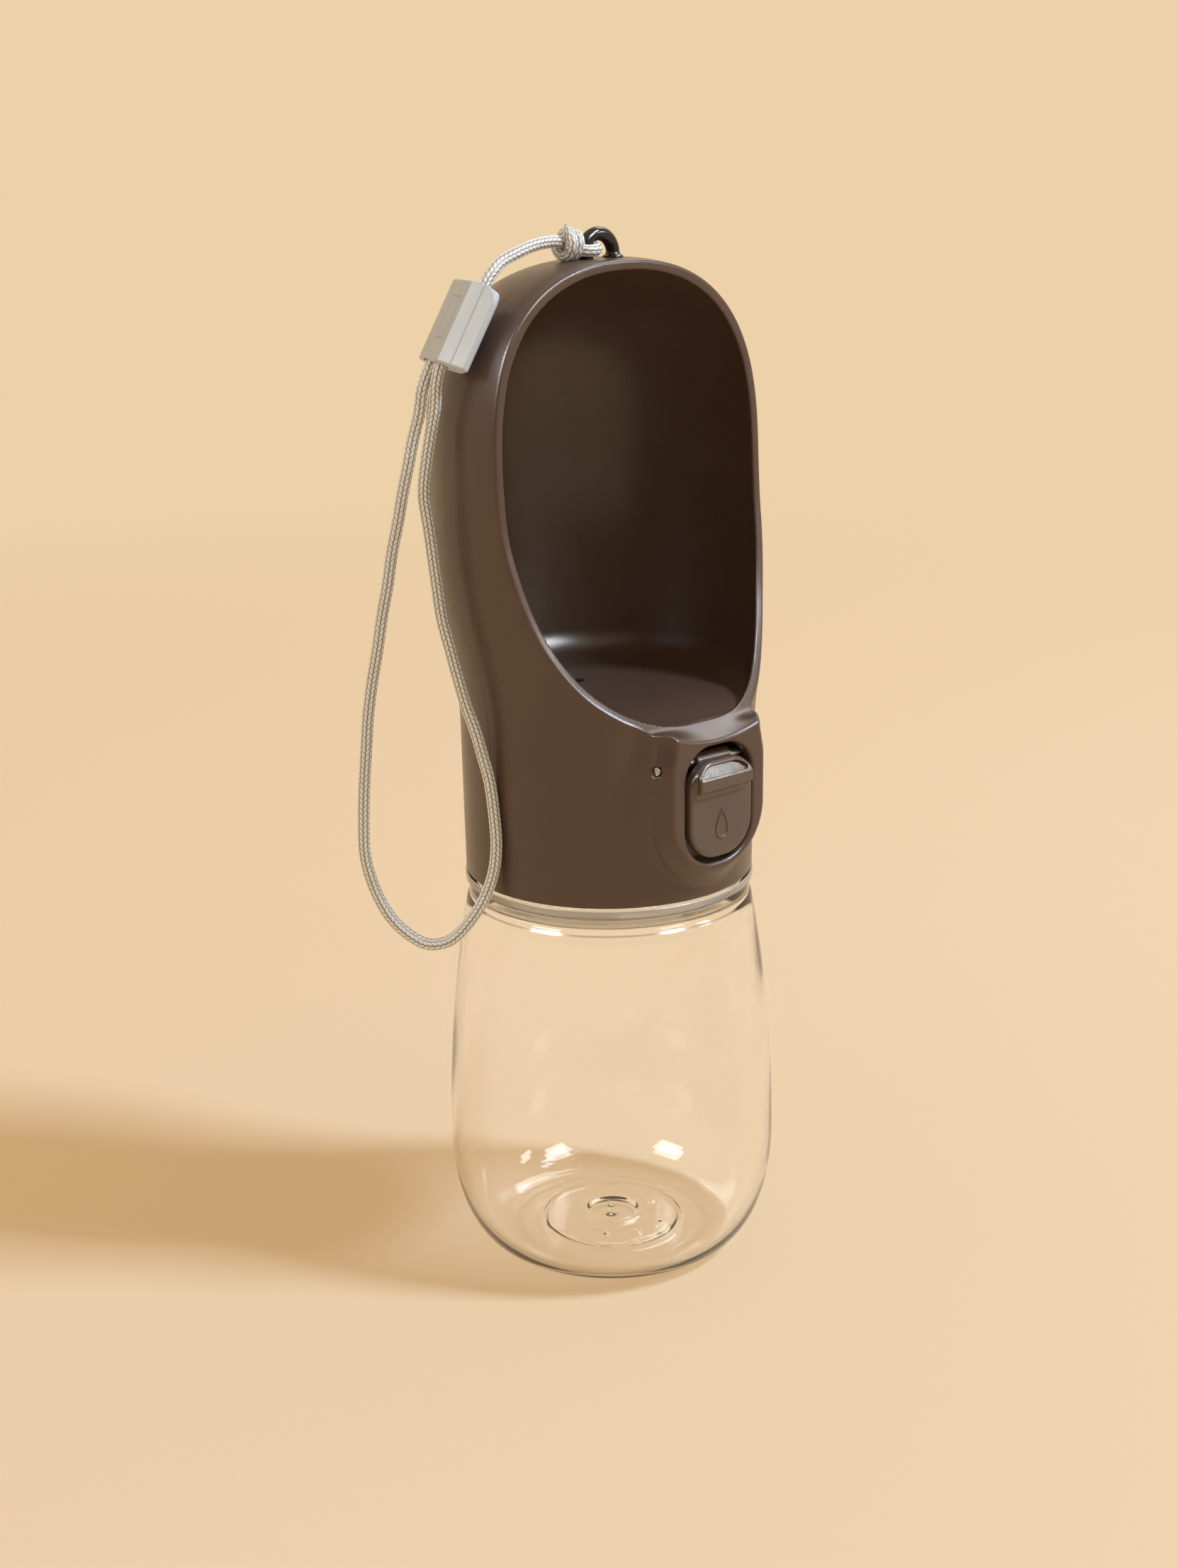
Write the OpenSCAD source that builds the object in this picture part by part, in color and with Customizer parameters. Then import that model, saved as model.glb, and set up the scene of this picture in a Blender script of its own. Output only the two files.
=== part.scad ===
// Dog travel water bottle: a clear bottle under a scoop-shaped drinking head,
// with a press button that opens a water valve, and a wrist cord on a lug.
// Millimetres. +Z is up and the origin is the middle of the foot on the floor.
// The scoop and the button face -Y.

/* [Bottle] */
// Outer radius of the ring that the bottle stands on
foot_r = 22.3; // [18:0.1:26]
// Width of the flat standing ring
foot_w = 2; // [1:0.1:4]
// Widest radius of the bottle
belly_r = 36; // [33:0.1:42]
// Height of the widest radius
belly_z = 26.4; // [20:0.1:34]
// Radius at the shoulder line
shoulder_r = 31; // [30.8:0.1:31.1]
// Height of the shoulder line
shoulder_z = 81.3; // [70:0.1:90]
// Radius of the shallow groove above the shoulder line
groove_r = 30.5; // [29:0.1:30.7]
// Height of the groove, from the shoulder line to the flange
groove_h = 3.9; // [3:0.1:6]
// Radius of the flange that the head screws down to
flange_r = 31.2; // [30.8:0.1:31.6]
// Thickness of the flange
flange_t = 2.2; // [1.6:0.1:3]
// Wall of the bottle
bottle_wall = 1.4; // [0.8:0.1:2]
// Thickness of the bottle's bottom
base_t = 2; // [1.2:0.1:3]
// Height of the push-up under the bottom
push_up = 1.8; // [1:0.1:4]
// Radius of the push-up's crown
push_up_r = 15.3; // [8:0.1:17]
// Outer radius of the neck
neck_r = 25; // [24.2:0.1:25.2]
// Wall of the neck
neck_wall = 2.5; // [1.5:0.1:3]
// Height of the neck above the flange
neck_h = 10.1; // [8:0.1:14]

/* [Head] */
// Radius of the head at its lower edge
skirt_r = 31; // [30.9:0.1:33]
// Radius of the head where the scoop starts to swell
waist_r = 31.4; // [31:0.1:33]
// Widest radius of the head
head_max_r = 37; // [35:0.1:40]
// Wall of the head
head_wall = 2; // [1.4:0.1:2.1]
// Height of the bowl floor above the head's lower edge
floor_h = 38.7; // [37.5:0.1:44]
// Thickness of the bowl floor
floor_t = 2; // [1.5:0.1:3]
// Radius between the bowl floor and its wall
bowl_fillet = 3; // [1.5:0.1:5]
// Height of the waist above the head's lower edge
waist_h = 32.2; // [30:0.1:36]
// Height of the widest radius above the head's lower edge
wide_h = 82.2; // [70:0.1:95]
// Height of the dome above the widest radius
dome_h = 46.2; // [38:0.1:55]
// Radius of the flat on top of the dome
dome_flat_r = 7; // [6.5:0.1:9]
// Gap between the bottle's flange and the head
head_gap = 0.4; // [0.2:0.1:1]

/* [Scoop opening] */
// Distance of the lip in front of the axis
lip_y = 32; // [31.5:0.1:32.4]
// Drop of the lip below the bowl floor
lip_drop = 3.2; // [2.8:0.1:3.6]
// Radius of the curve of the rim, seen from the side
rim_arc_r = 61.6; // [56:0.1:66]
// Lean of the upper rim from the vertical, in degrees
rim_lean = 2.74; // [1:0.01:5]
// Lean of the rim from the vertical where it meets the lip, in degrees
rim_end = 50.6; // [46:0.1:54]
// Fall of the lip towards the front, in degrees
lip_fall = 30; // [27:0.5:33]
// Radius of the water outlet in the bowl floor
outlet_r = 2.15; // [1.5:0.05:2.2]
// Distance of the water outlet behind the axis
outlet_y = 11; // [8:0.1:12]

/* [Button housing] */
// Distance of the housing's front face from the axis
housing_y = 34.6; // [34.3:0.1:34.8]
// Half width of the housing's front face
housing_front_w = 12.6; // [11.5:0.1:13.5]
// Half width of the housing where it meets the skirt
housing_back_w = 15; // [14.8:0.1:15.6]
// Depth of the housing's sloping edge
housing_slope = 3.4; // [2.8:0.1:4]
// Half width of the button window
window_w = 9.25; // [9.2:0.05:9.8]
// Corner radius at the bottom of the window
window_corner_r = 8; // [6:0.1:8.8]
// Corner radius at the top of the window
window_arch_r = 7; // [6.8:0.1:8.8]
// Distance of the window's top below the bowl floor
window_drop = 5.3; // [5.1:0.1:5.5]
// Height of the window
window_h = 24.8; // [24.6:0.1:26]

/* [Button] */
// Clearance between the button and the window's sides
button_gap = 0.65; // [0.3:0.05:1]
// Distance of the button's front face from the axis
button_y = 35.3; // [35:0.05:35.5]
// Thickness of the button's face
button_t = 2; // [1.6:0.1:2.1]
// Gap below the button in its window
button_low_gap = 1.3; // [1.1:0.1:2]
// Height of the button
button_h = 20.7; // [20:0.1:20.8]
// Upward travel of the button to its locked place
lock_travel = 2.5; // [1.5:0.1:2.6]
// Distance of the thumb ledge's front from the axis
ledge_y = 37; // [36:0.1:37.5]
// Half width of the thumb ledge
ledge_w = 7.2; // [5:0.1:7.6]
// Height of the thumb ledge
ledge_h = 5.2; // [4:0.1:6]
// Fall of the ledge's top from the button's face to the ledge's front
ledge_fall = 1.8; // [0.5:0.1:2.5]
// Clearance of parts that slide or turn on each other
slide_gap = 0.1; // [0.05:0.01:0.12]

/* [Rocker] */
// Distance of the rocker's pin from the axis
pin_y = 31.3; // [31.1:0.05:31.4]
// Distance of the rocker's pin below the bowl floor
pin_drop = 8.8; // [8.5:0.1:9.2]
// Radius of the rocker's steel pin
pin_r = 0.85; // [0.7:0.05:1]
// Half length of the rocker's steel pin
pin_half = 14.3; // [13:0.1:14.6]
// Radial clearance of a pin in its hole
pin_gap = 0.05; // [0.02:0.01:0.08]
// Radius of the rocker's hub
hub_r = 1.9; // [1.7:0.05:1.95]
// Thickness of the rocker
rocker_t = 1.3; // [1:0.1:1.4]
// Half width of the rocker
rocker_w = 6.5; // [6:0.1:7]
// Half width of the rocker's hub
hub_w = 4.5; // [3.5:0.1:4.6]
// Radius of the nose that pushes the valve stem
nose_r = 1; // [0.8:0.05:1.05]

/* [Valve] */
// Thickness of the neck gasket
gasket_t = 1.5; // [1:0.1:2]
// Clearance on each side of the gasket
gasket_gap = 0.1; // [0.05:0.01:0.3]
// Thickness of the valve plate
plate_t = 2; // [1.5:0.1:3]
// Clearance between the skirt and what stands in it
skirt_gap = 0.2; // [0.1:0.05:0.3]
// Outer radius of the valve body
valve_r = 6; // [5.6:0.1:6.3]
// Height of the valve stem above the valve plate
stem_h = 6.3; // [6.2:0.1:6.8]
// Radius of the valve stem
stem_r = 1.5; // [1.2:0.05:1.7]
// Radius of the front chamber of the valve
inlet_chamber_r = 3.6; // [3.2:0.1:4]
// Radius of the rear chamber of the valve
outlet_chamber_r = 4.4; // [4:0.1:4.6]
// Radius of the hole in the valve seat
seat_r = 2.3; // [2.1:0.05:2.5]
// Radius of the silicone plug
plug_r = 3.6; // [3.2:0.1:3.8]
// Thickness of the silicone plug
plug_t = 2.2; // [1.5:0.1:2.5]
// Radius of the inlet through the valve plate
inlet_r = 2.6; // [2:0.1:2.8]
// Outer radius of the outlet tube
tube_r = 3.4; // [3:0.1:3.6]
// Mean radius of the valve spring
spring_r = 3; // [2.9:0.05:3.2]
// Radius of the spring wire
wire_r = 0.35; // [0.25:0.05:0.4]
// Turns of the valve spring
spring_turns = 6; // [4:1:7]

/* [Screws] */
// Distance of each screw from the two middle planes
screw_xy = 13.1; // [12.4:0.1:13.6]
// Radius of the screw shank
screw_r = 1; // [0.8:0.05:1.1]
// Length of the screw shank above the plate
screw_len = 9; // [6:0.5:12]
// Radius of the screw head
screw_head_r = 2.2; // [1.8:0.1:2.4]
// Radius of the screw bosses
boss_r = 3.2; // [2.8:0.1:3.4]

/* [Lug and cord] */
// Half distance between the lug's two legs
lug_half = 4; // [3.9:0.1:4.4]
// Radius of the lug's rod
lug_rod_r = 1.4; // [1.2:0.1:1.45]
// Height of the lug's legs
lug_leg = 0.8; // [0.6:0.1:2]
// Distance of the lug behind the axis
lug_y = 1.5; // [0:0.1:3]
// Radius of the braided cord
cord_r = 1.3; // [1:0.1:1.3]
// Length of the cord clip
clip_len = 17.2; // [15:0.1:20]
// Width of the cord clip
clip_w = 12.7; // [11:0.1:14]
// Thickness of the cord clip
clip_t = 5; // [4.2:0.1:6]
// Slope of the clip's two front faces, in degrees
clip_slope = 12; // [6:1:14]

/* [Hidden] */

$fn = 96;
eps = 0.01;
far = 60;

// Bottle heights
belly_n = 2.2;
flange_low_z = shoulder_z + groove_h;
flange_z = flange_low_z + flange_t;
neck_top_z = flange_z + neck_h;
neck_in_r = neck_r - neck_wall;

// Head heights
head_z = flange_z + head_gap;
floor_z = head_z + floor_h;
under_floor_z = floor_z - floor_t;
waist_z = head_z + waist_h;
wide_z = head_z + wide_h;
flare_power = 1.3;
dome_a = 2.3;
dome_b = 3.1;
dome_end = acos(pow(dome_flat_r / head_max_r, dome_a / 2));
head_top_z = wide_z + dome_h * pow(sin(dome_end), 2 / dome_b);
skirt_in_r = skirt_r - 2.1;

// The stack between the bottle's neck and the bowl floor
gasket_z = neck_top_z + gasket_gap;
plate_z = gasket_z + gasket_t + gasket_gap;
plate_top_z = plate_z + plate_t;
inside_r = skirt_in_r - skirt_gap;
sleeve_r = neck_r + 0.5;
stem_z = plate_top_z + stem_h;

// The rim of the scoop, as seen from the side
lip_z = floor_z - lip_drop;
rim_c = [-lip_y - rim_arc_r * cos(rim_end), lip_z + rim_arc_r * sin(rim_end)];

// The window and the button
window_top_z = floor_z - window_drop;
window_low_z = window_top_z - window_h;
button_w = window_w - button_gap;
button_low_z = window_low_z + button_low_gap;
button_top_z = button_low_z + button_h;
button_corner_r = window_corner_r - button_gap;
button_arch_r = window_arch_r - 1;
button_back_y = button_y - button_t;
pin_z = floor_z - pin_drop;

// The rocker behind the button, and the two hooks that hold the button on it
rocker_front_y = button_back_y - slide_gap;
rocker_back_y = rocker_front_y - rocker_t;
rocker_low_z = plate_top_z + 0.4;
rocker_top_z = pin_z - 3.7;
hook_x = 4.5;
hook_w = 1.6;
hook_h = 2.4;
hook_z = rocker_low_z + 1.6;
hook_foot_w = 3;
hook_foot_t = 0.8;
stem_tip_y = rocker_back_y - 0.9;
nose_back_y = stem_tip_y + slide_gap;

// The valve along Y: the seat web, the plug behind it and the cap at the end
valve_front_y = -20;
gland_t = 3;
seal_t = 1.6;
seat_y = -5;
seat_t = 1.5;
plug_y = seat_y + seat_t + slide_gap;
plug_back_y = plug_y + plug_t;
rivet_r = 2.3;
rivet_t = 0.8;
valve_back_y = outlet_y + 7;
cap_t = 3.5;
cap_y = valve_back_y - cap_t;
inlet_y = -11;
spigot_z = stem_z + valve_r + 3;
boss_low_z = under_floor_z - 4.5;

// The lug on the dome
lug_z = head_top_z;
lug_arc_z = lug_z + lug_leg;
stake_r = 1.2;

// The clip's place and turn, and where the cord's three ends sit across it
clip_at = [-34.4, 2.2, 204.6];
clip_turn = [60.5, 7.5, -82.4];
lead_x = 1.5;
strand_x = [-3.6, -0.9];
cord_depth = 3;

// The cord's route, in two free stretches. It hangs in one near-vertical plane.
cord_plane = [-0.656, -0.755, 0];
lead_route = [
    [-10, 2, 219.5], [-13, 2, 219.5], [-17, 1.5, 219], [-21, 1, 218], [-25, 1, 216.5],
    [-28, 0.5, 214.5], [-30, 0.5, 212], [-31, 0.5, 210]];
loop_route = [
    [-38, 6, 199.5], [-39.5, 6.5, 196.5], [-41, 7, 192.5], [-41.5, 7.5, 188], [-42.5, 8.5, 183],
    [-43.5, 9, 178], [-44.5, 10, 172], [-45.5, 10.5, 166.5], [-46.5, 11.5, 160.5], [-47.5, 12, 154],
    [-48.5, 13, 147.5], [-49.5, 13.5, 141], [-50.5, 14.5, 134], [-51.5, 15, 127], [-52, 15.5, 119.5],
    [-52.5, 16, 112], [-53, 16, 104.5], [-53, 16, 97], [-51.5, 15, 89.5], [-49.5, 12.5, 83.5],
    [-46.5, 10, 79.5], [-43.5, 7.5, 77.5], [-40, 4.5, 78.5], [-37, 2, 82.5], [-34.5, 0, 87.5],
    [-33, -1.5, 93.5], [-32.5, -2, 99.5], [-32.5, -1.5, 105.5], [-33, -1, 112.5], [-34, 0, 118.5],
    [-35, 1, 124], [-36.5, 2, 129.5], [-37.5, 3, 135], [-38.5, 4, 141], [-39.5, 5, 147],
    [-40, 5.5, 153], [-40.5, 6, 159.5], [-41, 6.5, 166], [-41.5, 7, 172], [-41, 6.5, 178],
    [-40, 6, 184], [-39.5, 5, 189], [-39.5, 4.5, 193], [-39, 4, 196.5], [-38, 3.5, 199]];

head_color = [0.33, 0.27, 0.23];
inner_color = [0.88, 0.87, 0.84];
rubber_color = [0.75, 0.77, 0.78];
steel_color = [0.74, 0.74, 0.75];
cord_color = [0.82, 0.81, 0.79];
clip_color = [0.72, 0.72, 0.71];

// ---- shared shapes ----

// A cylinder that runs along +Y from [x, y, z].
module along_y(x, y, z, r, len) {
    translate([x, y, z]) rotate([-90, 0, 0]) cylinder(r = r, h = len);
}

// A cylinder that runs along X, centred on [x, y, z].
module along_x(x, y, z, r, len) {
    translate([x - len / 2, y, z]) rotate([0, 90, 0]) cylinder(r = r, h = len);
}

// A flat outline in X and Z, pushed from y_front towards +Y.
module pushed_back(y_front, len) {
    translate([0, y_front + len, 0]) rotate([90, 0, 0]) linear_extrude(len) children();
}

module ring(r_out, r_in, z, h) {
    translate([0, 0, z]) difference() {
        cylinder(r = r_out, h = h);
        translate([0, 0, -eps]) cylinder(r = r_in, h = h + 2 * eps);
    }
}

// An upright outline, with one radius at its lower corners and one at its upper.
module arched(half_w, low_z, top_z, low_r, top_r) {
    translate([-half_w, low_z + low_r]) square([2 * half_w, top_z - top_r - low_z - low_r]);
    translate([-half_w + low_r, low_z]) square([2 * (half_w - low_r), low_r]);
    translate([-half_w + top_r, top_z - top_r]) square([2 * (half_w - top_r), top_r]);
    for (side = [-1, 1]) {
        translate([side * (half_w - low_r), low_z + low_r]) circle(r = low_r);
        translate([side * (half_w - top_r), top_z - top_r]) circle(r = top_r);
    }
}

function unit(v) = v / norm(v);

// A tube of the given radius, swept along a route of points.
module swept(route, r, sides, plane) {
    last = len(route) - 1;
    rings = [for (i = [0:last])
        let (ahead = unit(route[min(i + 1, last)] - route[max(i - 1, 0)]),
             across = unit(cross(ahead, plane)),
             up = cross(across, ahead))
        for (k = [0:sides - 1])
            route[i] + r * (cos(360 * k / sides) * across + sin(360 * k / sides) * up)];
    wall = [for (i = [0:last - 1]) for (k = [0:sides - 1])
        let (a = i * sides + k, b = i * sides + (k + 1) % sides)
        each [[a, a + sides, b], [b, a + sides, b + sides]]];
    low_end = [[for (k = [0:sides - 1]) k]];
    high_end = [[for (k = [sides - 1:-1:0]) last * sides + k]];
    polyhedron(points = rings, faces = concat(wall, low_end, high_end));
}

// ---- bottle ----

function belly(a, r_top, low_z) = [
    foot_r + (r_top - foot_r) * pow(sin(a), 2 / belly_n),
    belly_z - (belly_z - low_z) * pow(cos(a), 2 / belly_n)];
function upper_wall(t, wall) = [
    belly_r - wall - (belly_r - shoulder_r) * t * t,
    belly_z + (shoulder_z - belly_z) * t];

module bottle() {
    steps = 9;
    outside = concat(
        [for (i = [0:steps]) belly(i * 90 / steps, belly_r, 0)],
        [for (i = [1:steps]) upper_wall(i / steps, 0)],
        [[groove_r, shoulder_z + 0.8], [groove_r, flange_low_z], [flange_r, flange_low_z],
         [flange_r, flange_z], [neck_r, flange_z], [neck_r, neck_top_z]]);
    inside = concat(
        [[neck_in_r, neck_top_z], [neck_in_r, flange_z - 1.4],
         [groove_r - bottle_wall, shoulder_z + 1.7]],
        [for (i = [steps:-1:1]) upper_wall(i / steps, bottle_wall)],
        [for (i = [steps:-1:0]) belly(i * 90 / steps, belly_r - bottle_wall, base_t)],
        [[push_up_r, base_t + push_up / 2], [0, base_t + push_up]]);
    underside = [[0, push_up], [push_up_r, push_up / 2], [foot_r - foot_w, 0]];
    color([0.9, 0.88, 0.85, 0.4])
        rotate_extrude() polygon(concat(outside, inside, underside));
}

module neck_gasket() {
    color(rubber_color) ring(neck_r, neck_in_r + 0.1, gasket_z, gasket_t);
}

// ---- head ----

function smooth(t) = t * t * (3 - 2 * t);
function flare(z, wall) = head_max_r - wall
    - (head_max_r - waist_r) * smooth(pow((wide_z - z) / (wide_z - waist_z), flare_power));
function dome(a, wall) = [
    (head_max_r - wall) * pow(cos(a), 2 / dome_a),
    wide_z + (dome_h - wall) * pow(sin(a), 2 / dome_b)];

module bowl_cavity() {
    flare_steps = 9;
    dome_steps = 12;
    start_z = floor_z + bowl_fillet;
    start_r = flare(start_z, head_wall);
    corner = [for (a = [0:22.5:90])
        [start_r - bowl_fillet * (1 - sin(a)), start_z - bowl_fillet * cos(a)]];
    side = [for (i = [1:flare_steps])
        let (z = start_z + (wide_z - start_z) * i / flare_steps) [flare(z, head_wall), z]];
    top = [for (i = [1:dome_steps]) dome(i * dome_end / dome_steps, head_wall)];
    rotate_extrude()
        polygon(concat([[0, floor_z]], corner, side, top, [[0, top[dome_steps - 1][1]]]));
}

module head_outside() {
    flare_steps = 10;
    dome_steps = 12;
    edge = 0.4;
    side = [for (i = [0:flare_steps])
        let (z = waist_z + (wide_z - waist_z) * i / flare_steps) [flare(z, 0), z]];
    top = [for (i = [1:dome_steps]) dome(i * dome_end / dome_steps, 0)];
    rotate_extrude()
        polygon(concat([[0, head_z], [skirt_r - edge, head_z], [skirt_r, head_z + edge]],
            side, top, [[0, head_top_z]]));
}

// The raised housing of the button: a sloping edge round a flat front face.
module button_housing() {
    slope_y = housing_y - housing_slope;
    round_z = window_low_z + window_corner_r + 2.8;
    inner_y = skirt_in_r - 5;
    translate([0, 0, round_z]) rotate([90, 0, 0]) rotate_extrude() polygon([
        [0, inner_y], [housing_back_w, inner_y], [housing_back_w, slope_y],
        [housing_front_w, housing_y], [0, housing_y]]);
    translate([0, 0, round_z]) linear_extrude(floor_z - round_z) polygon([
        [-housing_back_w, -inner_y], [-housing_back_w, -slope_y],
        [-housing_front_w, -housing_y], [housing_front_w, -housing_y],
        [housing_back_w, -slope_y], [housing_back_w, -inner_y]]);
}

// Everything in front of the rim, cut straight across the head.
module front_cut() {
    steps = 14;
    curve = [for (i = [0:steps])
        let (a = rim_lean + (rim_end - rim_lean) * i / steps)
        rim_c + rim_arc_r * [cos(a), -sin(a)]];
    top = curve[0] + 2 * dome_h * [sin(rim_lean), cos(rim_lean)];
    front = [-far, lip_z - (far - lip_y) * tan(lip_fall)];
    translate([-far, 0, 0]) rotate([90, 0, 90]) linear_extrude(2 * far)
        polygon(concat([[-far, top[1]], top], curve, [front]));
}

module head_shell() {
    color(head_color) difference() {
        union() {
            difference() {
                union() {
                    head_outside();
                    button_housing();
                }
                translate([0, 0, head_z - eps])
                    cylinder(r = skirt_in_r, h = under_floor_z - head_z + eps);
                bowl_cavity();
                front_cut();
            }
            screw_places() translate([0, 0, plate_top_z])
                cylinder(r = boss_r, h = floor_z - floor_t / 2 - plate_top_z);
            translate([0, outlet_y, boss_low_z])
                cylinder(r = tube_r + 1.6, h = floor_z - floor_t / 2 - boss_low_z);
        }
        pushed_back(-far, far - skirt_in_r + 3)
            arched(window_w, window_low_z, window_top_z, window_corner_r, window_arch_r);
        along_x(0, -pin_y, pin_z, pin_r + pin_gap, 2 * housing_back_w + 2);
        translate([0, outlet_y, under_floor_z - eps]) cylinder(r = outlet_r, h = 2 * floor_t);
        translate([0, outlet_y, boss_low_z - eps])
            cylinder(r = tube_r + slide_gap, h = under_floor_z - boss_low_z + eps);
        screw_places() translate([0, 0, plate_top_z - eps])
            cylinder(r = screw_r + pin_gap, h = screw_len + 1);
        for (side = [-1, 1])
            translate([side * lug_half, lug_y, lug_z - head_wall - 1])
                cylinder(r = stake_r + pin_gap, h = head_wall + 2);
    }
}

module neck_sleeve() {
    color(inner_color) ring(inside_r, sleeve_r, head_z + 0.6, plate_z - head_z - 0.6);
}

// ---- valve ----

module screw_places() {
    for (x = [-screw_xy, screw_xy])
        for (y = [-screw_xy, screw_xy])
            translate([x, y, 0]) children();
}

module valve_plate() {
    color(inner_color) difference() {
        translate([0, 0, plate_z]) cylinder(r = inside_r, h = plate_t);
        translate([0, inlet_y, plate_z - eps]) cylinder(r = inlet_r, h = plate_t + 2 * eps);
        screw_places() translate([0, 0, plate_z - eps])
            cylinder(r = screw_r + slide_gap, h = plate_t + 2 * eps);
    }
}

module plate_screws() {
    head_t = 1.4;
    color(steel_color) screw_places() {
        translate([0, 0, plate_z - head_t]) cylinder(r = screw_head_r, h = head_t);
        translate([0, 0, plate_z - eps]) cylinder(r = screw_r, h = plate_t + screw_len + eps);
    }
}

module valve_body() {
    color(inner_color) difference() {
        union() {
            along_y(0, valve_front_y, stem_z, valve_r, valve_back_y - valve_front_y);
            translate([-valve_r, valve_front_y + 3, plate_top_z])
                cube([2 * valve_r, valve_back_y - valve_front_y - 4, stem_z - plate_top_z]);
            translate([0, outlet_y, stem_z]) cylinder(r = tube_r, h = spigot_z - stem_z);
        }
        along_y(0, valve_front_y - eps, stem_z, inlet_chamber_r, seat_y - valve_front_y + eps);
        along_y(0, seat_y - eps, stem_z, seat_r, seat_t + 2 * eps);
        along_y(0, seat_y + seat_t, stem_z, outlet_chamber_r, valve_back_y - seat_y);
        translate([0, inlet_y, plate_top_z - eps]) cylinder(r = inlet_r, h = stem_h);
        translate([0, outlet_y, stem_z]) cylinder(r = outlet_r, h = spigot_z - stem_z + eps);
        translate([0, inlet_y, 0]) ring(inlet_r + 1.9, inlet_r + 0.4, plate_top_z - eps, 1);
    }
}

module stem_gland() {
    lip = 1.2;
    color(inner_color) difference() {
        union() {
            along_y(0, valve_front_y, stem_z, inlet_chamber_r - pin_gap, gland_t);
            along_y(0, valve_front_y - lip, stem_z, inlet_chamber_r + 1.4, lip);
        }
        along_y(0, valve_front_y - lip - eps, stem_z, stem_r + pin_gap, gland_t + lip + 2 * eps);
    }
}

// A rubber ring round the stem, behind the gland.
module stem_seal() {
    color(rubber_color) difference() {
        along_y(0, valve_front_y + gland_t, stem_z, inlet_chamber_r - pin_gap, seal_t);
        along_y(0, valve_front_y + gland_t - eps, stem_z, stem_r + pin_gap, seal_t + 2 * eps);
    }
}

module inlet_seal() {
    color(rubber_color) translate([0, inlet_y, 0])
        ring(inlet_r + 1.8, inlet_r + 0.5, plate_top_z, 0.9);
}

module valve_stem() {
    color(steel_color) {
        along_y(0, -stem_tip_y, stem_z, stem_r, stem_tip_y + plug_back_y + rivet_t);
        along_y(0, plug_back_y, stem_z, rivet_r, rivet_t);
    }
}

module valve_plug() {
    color(rubber_color) difference() {
        along_y(0, plug_y, stem_z, plug_r, plug_t);
        along_y(0, plug_y - eps, stem_z, stem_r + pin_gap, plug_t + 2 * eps);
    }
}

// An open coil of round wire between the plug and the cap.
module valve_spring() {
    per_turn = 12;
    start_y = plug_back_y + wire_r;
    run = cap_y - wire_r - start_y;
    total = spring_turns * per_turn;
    route = [for (i = [0:total])
        let (a = 360 * i / per_turn)
        [spring_r * cos(a), start_y + run * i / total, stem_z + spring_r * sin(a)]];
    color(steel_color) swept(route, wire_r, 6, [0, 1, 0]);
}

module valve_cap() {
    rim = 1.2;
    color(inner_color) {
        along_y(0, cap_y, stem_z, outlet_chamber_r - pin_gap, cap_t);
        along_y(0, valve_back_y, stem_z, valve_r, rim);
    }
}

module outlet_tube() {
    color(rubber_color) translate([0, outlet_y, 0])
        ring(tube_r, outlet_r, spigot_z, under_floor_z - spigot_z);
}

// ---- rocker and button ----

module rocker() {
    slot_w = hook_w + 0.4;
    slot_h = hook_h + lock_travel + 2 * slide_gap;
    color(head_color) difference() {
        union() {
            translate([-rocker_w, -rocker_front_y, rocker_low_z])
                cube([2 * rocker_w, rocker_t, rocker_top_z - rocker_low_z]);
            translate([-hub_w, -rocker_front_y, rocker_top_z - eps])
                cube([2 * hub_w, rocker_t, pin_z - rocker_top_z]);
            along_x(0, -pin_y, pin_z, hub_r, 2 * hub_w);
            along_x(0, -nose_back_y - nose_r, stem_z, nose_r, 4);
        }
        along_x(0, -pin_y, pin_z, pin_r + pin_gap, 2 * hub_w + 2);
        for (side = [-1, 1])
            translate([side * hook_x - slot_w / 2, -rocker_front_y - eps, hook_z - slide_gap])
                cube([slot_w, rocker_t + 2 * eps, slot_h]);
    }
}

module rocker_pin() {
    color(steel_color) along_x(0, -pin_y, pin_z, pin_r, 2 * pin_half);
}

module button_outline() {
    arched(button_w, button_low_z, button_top_z, button_corner_r, button_arch_r);
}

// The thumb ledge stands out of the face and its top falls towards the thumb.
module thumb_ledge() {
    low_z = button_top_z - ledge_h;
    back_y = button_y - button_t / 2;
    intersection() {
        pushed_back(-ledge_y, ledge_y - back_y) button_outline();
        translate([-ledge_w, 0, 0]) rotate([90, 0, 90]) linear_extrude(2 * ledge_w) polygon([
            [-back_y, low_z], [-button_y, low_z], [-ledge_y, low_z + 0.8],
            [-ledge_y, button_top_z - ledge_fall], [-button_y, button_top_z],
            [-back_y, button_top_z]]);
    }
}

module button_cap() {
    stem_len = button_back_y - rocker_back_y + slide_gap;
    color(head_color) {
        pushed_back(-button_y, button_t) button_outline();
        thumb_ledge();
        for (side = [-1, 1]) {
            translate([side * hook_x - hook_w / 2, -button_back_y - eps, hook_z])
                cube([hook_w, stem_len + 2 * eps, hook_h]);
            translate([side * hook_x - hook_foot_w / 2, slide_gap - rocker_back_y, hook_z])
                cube([hook_foot_w, hook_foot_t, hook_h]);
        }
    }
}

// ---- lug and cord ----

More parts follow.
